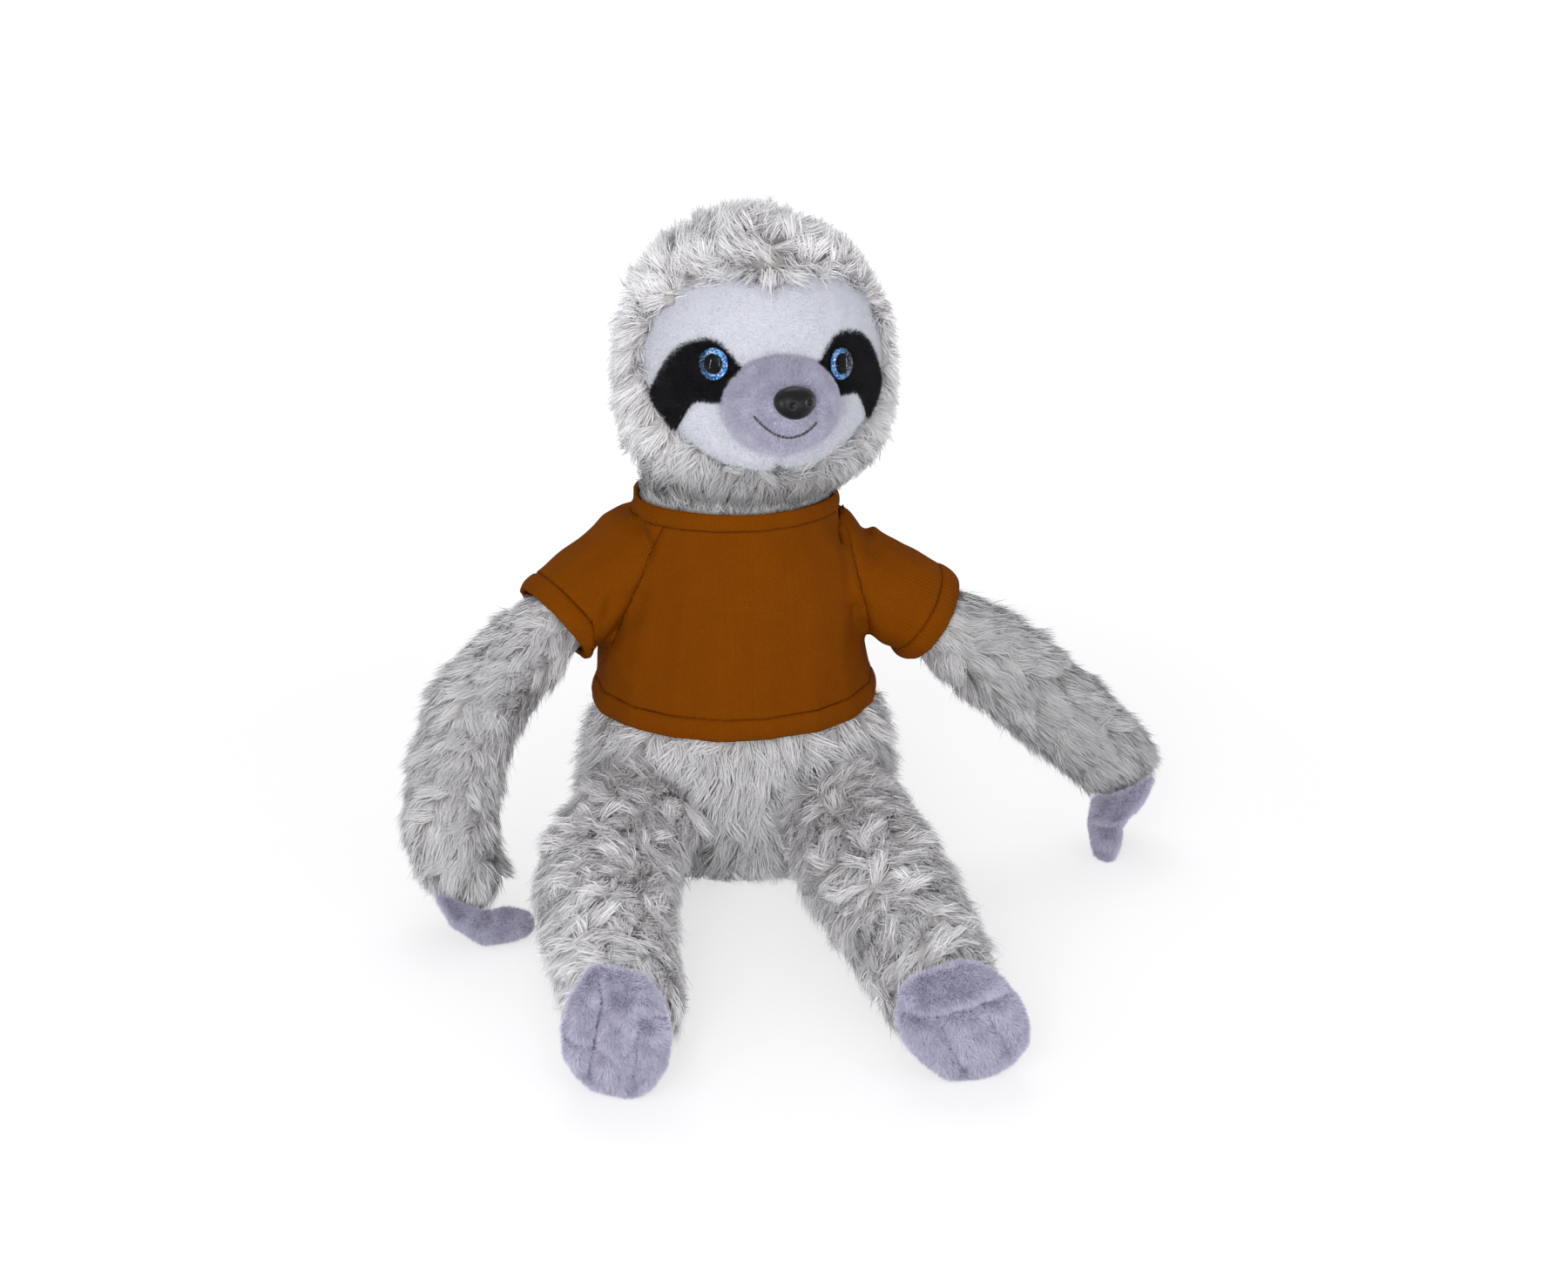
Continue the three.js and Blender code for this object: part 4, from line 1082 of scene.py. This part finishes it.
stitches = []
for k in range(stitch_count):
    a, b = (smile_at(2 * (k + edge) / stitch_count - 1) for edge in (-stitch_lap, 1 + stitch_lap))
    bpy.ops.mesh.primitive_uv_sphere_add(segments=10, ring_count=8, radius=1, location=(a + b) / 2,
                                         scale=(thread_radius * mm, thread_radius * mm, (b - a).length / 2),
                                         rotation=(b - a).to_track_quat("Z", "Y").to_euler())
    stitches.append(bpy.context.object)
select_only(*reversed(stitches))
bpy.ops.object.join()
mouth = bpy.context.object
bpy.ops.object.transform_apply(location=True, rotation=True, scale=True)
mouth.name = mouth.data.name = "mouth_thread"
mouth.data.shade_smooth()
finish(mouth, thread_black, "head", "thread", "mouth_stitch")


# Shirt
# A raglan shirt of brown cotton jersey: a body in one with its side seams, two sleeves, and a hem,
# collar and cuffs turned double and stitched. It is dressed tight over the fur.
jersey = 1.2
doubled = 2.0               # the hem, collar and cuffs, which also stand out a little
doubled_out = 0.15
bands = ("shirt_hem_band", "shirt_collar_band", "sleeve_cuff_band")
hem_width = 9
cuff_width = 9
body_reach = 61             # beyond this, sideways, the cloth is a sleeve's
raglans = {"right": (32.5, 0.40), "left": (42.0, 0.19)}   # the seam's place at the collar, and its spread below
raglan_bend = {"right": 8.5, "left": 16}                  # how far past its seam a point on each sleeve lies; the point is worked out but not used
plug_half, plug_middle = [39.4, 35.2, 14], [3.6, -0.5, 155]
cloth_voxel = 1.4
bridge = 0.7                # narrow gaps at the armpits are closed by growing the cloth and drawing it back
sleeve_parts = ("arm_fur", "arm_filling", "sleeve", "sleeve_cuff")
body_parts = ["torso_fur", "torso_filling", "shirt_front", "shirt_back", "shirt_hem", "shirt_collar"]
on_arm = {"right": lambda p: p[:, 0] < -61.5, "left": lambda p: p[:, 0] > 62}
# Folds from a start to an end, with their width and depth.
creases = [
    ((-55, -24, 96), (-47, -34, 111), 2.4, 3.6), ((-57, -24, 98), (-53, -32, 82), 2.6, 2.4),
    ((-64, -20, 99), (-53, -25, 120), 2.4, 2.2), ((45.5, -27, 100), (44.5, -29, 138), 1.5, 1.8),
    ((60, -18, 98), (54, -22, 122), 2.2, 1.4), ((-58, 20, 100), (-40, 38, 116), 2.4, 1.8),
    ((52, 20, 97), (40, 38, 112), 2.4, 1.8),
]


def jersey_material(name):
    """Knit jersey: columns of stitches up the cloth, rows across it, and a slight streak in the dye."""
    made, shader = material(name, 0.9, Specular_IOR_Level=0.04)
    chart = shader.chart()
    parts = shader.parts(chart)

    def waves(value, size):
        return shader.math("SINE", shader.math("MULTIPLY", value, 2 * math.pi * 1000 / size))

    height = shader.weighted((waves(parts[1], 0.9), 0.5), plus=waves(parts[0], 1.15))
    streaks = shader.add("ShaderNodeMapping", {"Vector": chart, "Scale": (700, 12, 1)}).outputs[0]
    streak = shader.add("ShaderNodeTexNoise", {"Vector": streaks, "Scale": 1.0, "Detail": 2.0}).outputs[0]
    cloud = mottled(shader, 14, 1.2)["Cloud"]
    tone = shader.weighted((streak, 0.28), (cloud, 0.57), (height, 0.07))
    shader.feed("Base Color", shader.ramp(tone, [
        (0.12, paint(110, 56, 0)), (0.5, paint(118, 60, 1)), (0.85, paint(127, 65, 4))]))
    shader.bump(0.35, 0.25, height)
    return made


def cut(piece, place, normal, chosen=None, away=True):
    """Cuts a piece, or its chosen points, along a plane, and takes what is past it away or only scores it."""
    edit(piece)
    if chosen is not None:
        bpy.ops.mesh.select_all(action="DESELECT")
        bpy.ops.object.mode_set(mode="OBJECT")
        mesh, picked = piece.data, chosen(places_of(piece))
        mesh.vertices.foreach_set("select", picked)
        mesh.polygons.foreach_set("select", [all(picked[k] for k in face.vertices) for face in mesh.polygons])
        mesh.edges.foreach_set("select", picked[read(mesh.edges, "vertices", 2, np.int32)].all(1))
        bpy.ops.object.mode_set(mode="EDIT")
    bpy.ops.mesh.bisect(plane_co=Vector(place) * mm, plane_no=Vector(normal), clear_outer=away)
    done()


def raglan(places):
    """How far places are past the raglan seams, towards the sleeves."""
    reach = []
    for side, (start, spread) in raglans.items():
        past_seam = signs[side] * places[:, 0] - start - spread * (collar_seam - places[:, 2])
        reach.append(past_seam / math.hypot(1, spread))
    return np.maximum(*reach)


def crease(places, start, end, width, deep):
    """A fold between two points: a groove with a low rise on each side, that fades at its ends."""
    start, run = np.array(start, float), np.array(end, float) - start
    share = np.clip(((places - start) @ run) / run.dot(run), 0, 1)
    off = np.linalg.norm(places - (start + share[:, None] * run), axis=1)
    fade = np.sin(math.pi * np.clip(0.08 + 0.84 * share, 0, 1))
    return deep * fade * hump(off, 0, width) - deep * 0.5 * fade * hump(off, 1.8 * width, width)


def shirt_folds(places):
    """How deep the cloth lies at its pressed seams, and at the folds that the sleeves and the body pull."""
    x, y, z = places.T
    seam = raglan(places)
    depth = 0.6 * hump(seam, 0, 0.8) - 0.3 * hump(np.abs(seam), 2.6, 1.6)
    depth *= grade(z, 96, 102) * (z < collar_seam + 0.5)
    over_hem = z - hem_level(places)
    depth += (0.7 * hump(over_hem, hem_width, 0.6) - 0.5 * hump(over_hem, 4.5, 4.0)) * (np.abs(x) < body_reach)
    depth += 0.9 * hump(z, collar_seam, 0.7) - 0.8 * hump(z - collar_seam, 4.6, 3.4)
    for side, (place, way) in cuffs.items():
        back = (place - places) @ way
        pressed = 0.9 * hump(back, cuff_width, 0.7) - 0.5 * hump(back, 4.5, 4.0)
        depth += pressed * (signs[side] * x > body_reach - 1)
    for fold in creases:
        depth += crease(places, *fold)
    return depth + 0.9 * noisy(places / [26, 26, 34]) + 0.28 * noisy(places / [9, 9, 15] + [7, 0, 0])


def dressed(places):
    """Shifts the cloth the way that the shirt was pulled on: the collar and the waist to the toy's right."""
    x, y, z = places.T
    body = np.abs(x) < body_reach
    waist = (2.0 + 2.2 * hump(z, 92, 14) * grade(x, -30, -50)) * grade(z, 118, 93) * body
    side = 1.6 * hump(z, 98, 12) * grade(x, 30, 50) * body
    places[:, 0] -= waist + side + collar_pull(places)
    return places


def by_collar(places):
    """Up to 1 within the oval of the collar."""
    return np.hypot((places[:, 0] + 0.8) / 43.6, places[:, 1] / 41)


shirt_jersey = jersey_material("brown_jersey")
sleeves = []
for side in cuffs:
    sleeve = soft_copy(f"sleeve_form_{side}", [f"{part}_{side}" for part in sleeve_parts], 1.5, 1)
    set_places(sleeve, in_sleeve(side, places_of(sleeve)))
    sleeves.append(sleeve)
select_only()
bpy.ops.mesh.primitive_cylinder_add(vertices=120, radius=mm, depth=2 * mm)
plug = bpy.context.object   # fills the neck, so that the collar is one wall
set_places(plug, places_of(plug) * plug_half + plug_middle)
form = soft_copy("shirt_form", [*body_parts, plug, *sleeves], cloth_voxel, 2)
set_places(form, places_of(form) + normals_of(form) * bridge)
apply(form, "REMESH", mode="VOXEL", voxel_size=cloth_voxel * mm)
set_places(form, places_of(form) - normals_of(form) * bridge)
apply(form, "SMOOTH", factor=0.5, iterations=4)
for side, (place, way) in cuffs.items():
    cut(form, place, way, on_arm[side])
cut(form, (0, 0, hem_middle), unit(np.array([0, hem_slope, -1])))
cut(form, (0, 0, collar_top), (0, 0, 1))

# The left shoulder stands in a step by the collar, and the cloth beside the collar stays under its seam.
places, normals = dressed(places_of(form)), normals_of(form)
x, y, z = places.T
step = np.interp(x, [39, 40.5, 44, 47.5, 51.5, 53, 56, 60, 67], [0, 7.5, 5, 2.5, -2, -2, 2.5, 2, 0])
top = hump(y, 0, 16) * grade(z, 126, 132) * grade(z, collar_seam - 0.8, collar_seam - 3.8)
places[:, 2] += step * top * grade(normals[:, 2], 0, 0.5)
places[:, 2] = np.where(by_collar(places) > 1, np.minimum(places[:, 2], collar_seam - 1.2), places[:, 2])
set_places(form, places)
apply(form, "SMOOTH", factor=0.5, iterations=6)

# Each seam is scored by three lines, so that it can be pressed in sharply, and the form parts along it.
seams = {side: (np.array([signs[side] * start, 0, collar_seam]), unit(np.array([signs[side], 0, spread])))
         for side, (start, spread) in raglans.items()}
hem_up = unit(np.array([0, -hem_slope, 1]))
hem_line = (0, 0, hem_middle + hem_width)
for step in (-0.8, 0, 0.8):
    cut(form, np.array(hem_line) + step * hem_up, hem_up, away=False)
    cut(form, (0, 0, collar_seam + step), (0, 0, 1), away=False)
    for place, way in seams.values():
        cut(form, place + step * way, way, away=False)
    for side, (place, way) in cuffs.items():
        cut(form, place - way * (cuff_width + step), way, on_arm[side], away=False)
centres = read(form.data.polygons, "center", 3) / mm
places, normals = places_of(form), normals_of(form)
set_places(form, places - normals * shirt_folds(places)[:, None])


def past(place, normal):
    """The faces of the cloth that lay past a plane before the folds were drawn."""
    return (centres - place) @ unit(np.array(normal, float)) > 0


def piece_of(whole, name, kept):
    """A copy of some faces of a cloth form."""
    copy = bmesh.new()
    copy.from_mesh(whole.data)
    copy.faces.ensure_lookup_table()
    bmesh.ops.delete(copy, geom=[copy.faces[k] for k in np.flatnonzero(~kept)], context="FACES")
    piece = new_piece(name, bpy.data.meshes.new(name))
    copy.to_mesh(piece.data)
    copy.free()
    return piece


def chart_cloth(piece, around, up, middle):
    """A map of the cloth in metres: round an axis, and along it."""
    first = unit(np.cross(up, [0.3, 1, 0.2]))
    second = np.cross(up, first)
    places = places_of(piece) - middle
    turn = np.arctan2(places @ first, places @ second)
    chart = np.stack([turn * around, places @ up], 1) * mm
    loops = read(piece.data.loops, "vertex_index", 1, np.int32)[:, 0]
    write(piece.data.uv_layers.new(name="OFBake").data, "uv", chart[loops])


def cloth(name, kept, chart, nodes):
    """A piece of the shirt: some faces of the form, with a map and a thickness, inwards."""
    piece = piece_of(form, name, kept)
    chart_cloth(piece, *chart)
    band = name.startswith(bands)
    if band:
        set_places(piece, places_of(piece) + normals_of(piece) * doubled_out)
    apply(piece, "SOLIDIFY", thickness=(doubled if band else jersey) * mm, offset=-1, use_even_offset=False)
    piece.data.materials.append(shirt_jersey)
    piece.data.shade_smooth()
    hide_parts(*nodes)
    return piece


upright, hem_point = np.array([0, 0, 1.0]), np.array([0, 0, 66.0])
on_hem, on_collar = past(hem_line, -hem_up), past((0, 0, collar_seam), (0, 0, 1)) & (by_collar(centres) < 1)
between = ~on_hem & ~on_collar
on_sleeve = {side: between & past(*seams[side]) & (sign * centres[:, 0] > 0) for side, sign in signs.items()}
on_body = between & ~on_sleeve["right"] & ~on_sleeve["left"]
for name, kept, radius, flat, nodes in (
    ("shirt_body", on_body, 56, (360, 78), ["shirt_front", "shirt_back"]),
    ("shirt_hem_band", on_hem, 58, (372, 11), ["shirt_hem"]),
    ("shirt_collar_band", on_collar, 42, (262, 10.5), ["shirt_collar"]),
):
    piece = cloth(name, kept, (radius, upright, hem_point), nodes)
    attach(piece, "torso")
for side, sign in signs.items():
    place, way = cuffs[side]
    on_cuff = on_sleeve[side] & past(place - way * cuff_width, way) & (sign * centres[:, 0] > 61.5)
    chart, rests_on = (21, way, np.array(arm_paths[side][0], float)), [f"arm_skin_{side}"]
    sleeve = cloth(f"sleeve_cloth_{side}", on_sleeve[side] & ~on_cuff, chart,
                   [f"sleeve_{side}"])
    band = cloth(f"sleeve_cuff_band_{side}", on_cuff, chart, [f"sleeve_cuff_{side}"])
    seam, way = seams[side]
    end = seam + raglan_bend[side] * way
    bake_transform(sleeve)
    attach(band, f"{side}_arm")
bpy.data.objects.remove(form)


# Feet
# Flat lilac paddles of short velvety plush over fibre filling. Two lines of stitching quilt each into
# three toes, and the plush creases where it bends.
foot_seams = {              # each with its width and depth
    "right": [([(-69.2, 48), (-67.7, 37.7), (-70.0, 26.0), (-72.8, 9)], 2.0, 3.2),
              ([(-54.5, 31.8), (-56.2, 21.0), (-57.2, 6)], 1.9, 3.0),
              ([(-55.0, 31.5), (-49, 31.5), (-46.0, 30.2)], 1.7, 2.4), ([(-80.5, 21.6), (-72, 19.5)], 1.6, 1.6),
              ([(-66, 34), (-60, 27), (-58, 22)], 2.2, 1.2), ([(-69, 20), (-63, 15), (-60, 9)], 2.0, 1.0)],
    "left": [([(49.5, 26.1), (54.6, 13.8), (59.3, 5.0)], 1.9, 3.0),
             ([(65.6, 29.9), (71.8, 17.8), (74.6, 12.2)], 1.9, 3.0),
             ([(38.5, 27.2), (48.0, 26.4), (65.3, 30.2), (74.5, 31.8)], 1.8, 2.4),
             ([(54, 23), (60, 20), (66, 21)], 2.0, 0.9)],
}
stitched = 1.5              # lines deeper than this are stitching, and others only creases
# A darker copy of the lilac velvet under the nap of the feet and hands: painted shade, as it shows mostly in
# the quilted seams, where the nap is held down.
paddle_velvet = velvet_material("paddle_velvet", paint(150, 147, 168), paint(122, 119, 140), bump_depth=0.7,
                                sheen=0.5)
paddle_blades = blade_material("paddle_velvet_tips", paint(158, 155, 179), paint(232, 230, 246))


def off_line(points, line):
    """How far points in a plane are from a broken line."""
    line = np.array(line, float)
    apart = []
    for a, b in zip(line, line[1:]):
        share = np.clip(((points - a) @ (b - a)) / (b - a).dot(b - a), 0, 1)
        apart.append(np.linalg.norm(points - (a + share[:, None] * (b - a)), axis=1))
    return np.min(apart, axis=0)


def rounded_foot(places, shift, narrow, lift):
    """Draws the square end of a foot in to the oval of the real one, its tip moved sideways."""
    low, high = places.min(0), places.max(0)
    middle = (low[0] + high[0]) / 2
    up = (places[:, 2] - low[2]) / (high[2] - low[2])
    width = np.interp(up, [0, 0.12, 0.3, 0.55, 0.8, 1], [0.66, 0.84, 0.97, 1.0, 0.97, 0.9])
    side = grade(places[:, 0], middle, low[0])
    places[:, 0] = middle + (places[:, 0] - middle) * width + shift * (1 - up) ** 2 + narrow * side
    places[:, 2] += lift * grade(up, 0.5, 1) ** 2
    return places


def paddle(kind, side, seams, seed, nap_count, shape):
    """A foot or a hand: its form, the lines quilted into its front, and its nap."""
    nodes = [f"{kind}_{side}", f"{kind}_filling_{side}"]
    piece = soft_copy(f"{kind}_plush_{side}", nodes, 0.9, 6)
    set_places(piece, shape(places_of(piece)))
    places, normals = places_of(piece), normals_of(piece)
    depth = 0.7 * noisy(places / 7)
    for line, width, deep in seams:
        off = off_line(places[:, [0, 2]], line)
        depth += 1.25 * deep * np.exp(-np.abs(off / width) ** 1.3) - 0.3 * deep * hump(off, 4.6, 2.6)
    places -= normals * (depth * grade(normals[:, 1], -0.2, -0.75))[:, None]
    places[:, 2] = np.maximum(places[:, 2], 0.3)
    set_places(piece, places)
    finish(piece, paddle_velvet, f"{side}_{kind}", "lilac", *nodes)

    def off_seams(places, normals):
        """The stitching holds the pile down along the seams."""
        free = np.ones(len(places), bool)
        for line, width, deep in seams:
            if deep > stitched:
                free &= off_line(places[:, [0, 2]], line) / width > 0.42
        return free | (normals[:, 1] > 0.3)

    tips = nap(f"{kind}_nap_{side}", piece, nap_count, 2.3, off_seams, seed, comb=(0.3, -0.1, -0.6),
               width=0.28, rise=0.95)
    finish(tips, paddle_blades, f"{side}_{kind}", "lilac")


for side, seed, shifts in (("right", 71, (0.5, 3.0, 3.0)), ("left", 72, (7.0, 0.5, -2.5))):
    paddle("foot", side, foot_seams[side], seed, 60000, lambda places: rounded_foot(places, *shifts))


# Hands
# Narrow curved paddles of the same lilac plush, sewn into the ends of the arms. The right one lies on the
# ground, and the left one is folded, its flap along the arm's end and its finger down.
def right_hand(places):
    """Moves the paddle out, and raises the end that is sewn to the arm."""
    low, high = places.min(0), places.max(0)
    share = (places[:, 0] - low[0]) / (high[0] - low[0])
    places[:, 0] += -0.8 + 5.6 * share
    lifted = 11 * grade(share, 0.5, 0) ** 1.3
    places[:, 2] = lifted + places[:, 2] * (1.15 - lifted / high[2])
    return places


def left_hand(places):
    """Moves the paddle's two edges, at each height, to those of the folded hand."""
    x, z = places[:, 0], places[:, 2]
    levels = np.arange(z.min(), z.max() - 1, 1.5)
    left, right = (np.array([pick(x[np.abs(z - level) < 1.5]) for level in levels])
                   for pick in (np.min, np.max))
    left, right = np.interp(z, levels, left), np.interp(z, levels, right)
    share = np.clip((x - left) / np.maximum(right - left, 1), 0, 1)
    new_left = np.interp(z, [0, 2, 12, 18, 25], [147.5, 145.6, 144.4, 143.6, 147])
    new_right = np.interp(z, [0, 3, 8, 13, 16.5, 25], [150.6, 152.8, 154.8, 155.8, 165.5, 171.5])
    places[:, 0] = new_left + share * (new_right - new_left)
    flap = grade(z, 12, 16)
    places[:, 1] -= 3.2 * eased(flap)
    places[:, 2] = z + flap * 9.5 * share**1.3
    return places


right_hand_seams = [([(-121, 12), (-110, 6), (-98, 9)], 1.8, 1.0)]
left_hand_seams = [([(141, 13.5), (150, 15.5), (157, 19), (164, 24)], 1.6, 3.0),
                   ([(150.5, 12), (150, 3)], 1.4, 0.9)]
paddle("hand", "right", right_hand_seams, 73, 35000, right_hand)
paddle("hand", "left", left_hand_seams, 74, 35000, left_hand)


# Filling, pellets and washers
# What is closed up inside: fibre filling, a bag of pellets in the seat, and the white plastic washers
# that lock the eyes' and the nose's shanks.
inner_looks = {
    "filling": stuff_material("polyester_fibre", paint(240, 240, 238), paint(214, 214, 210),
                              0.95, 5, 0.7, 0.8),
    "pellet": stuff_material("pellet_bag_cloth", paint(228, 226, 220), paint(196, 194, 188),
                             0.9, 3.5, 0.6, 1.0),
    "washer": stuff_material("washer_plastic", paint(232, 232, 230), paint(216, 216, 214), 0.4, 6, 0.5, 0.1),
}
for name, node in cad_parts.items():
    for kind, look in inner_looks.items():
        if kind in name:
            node.data.materials.clear()
            node.data.materials.append(look)
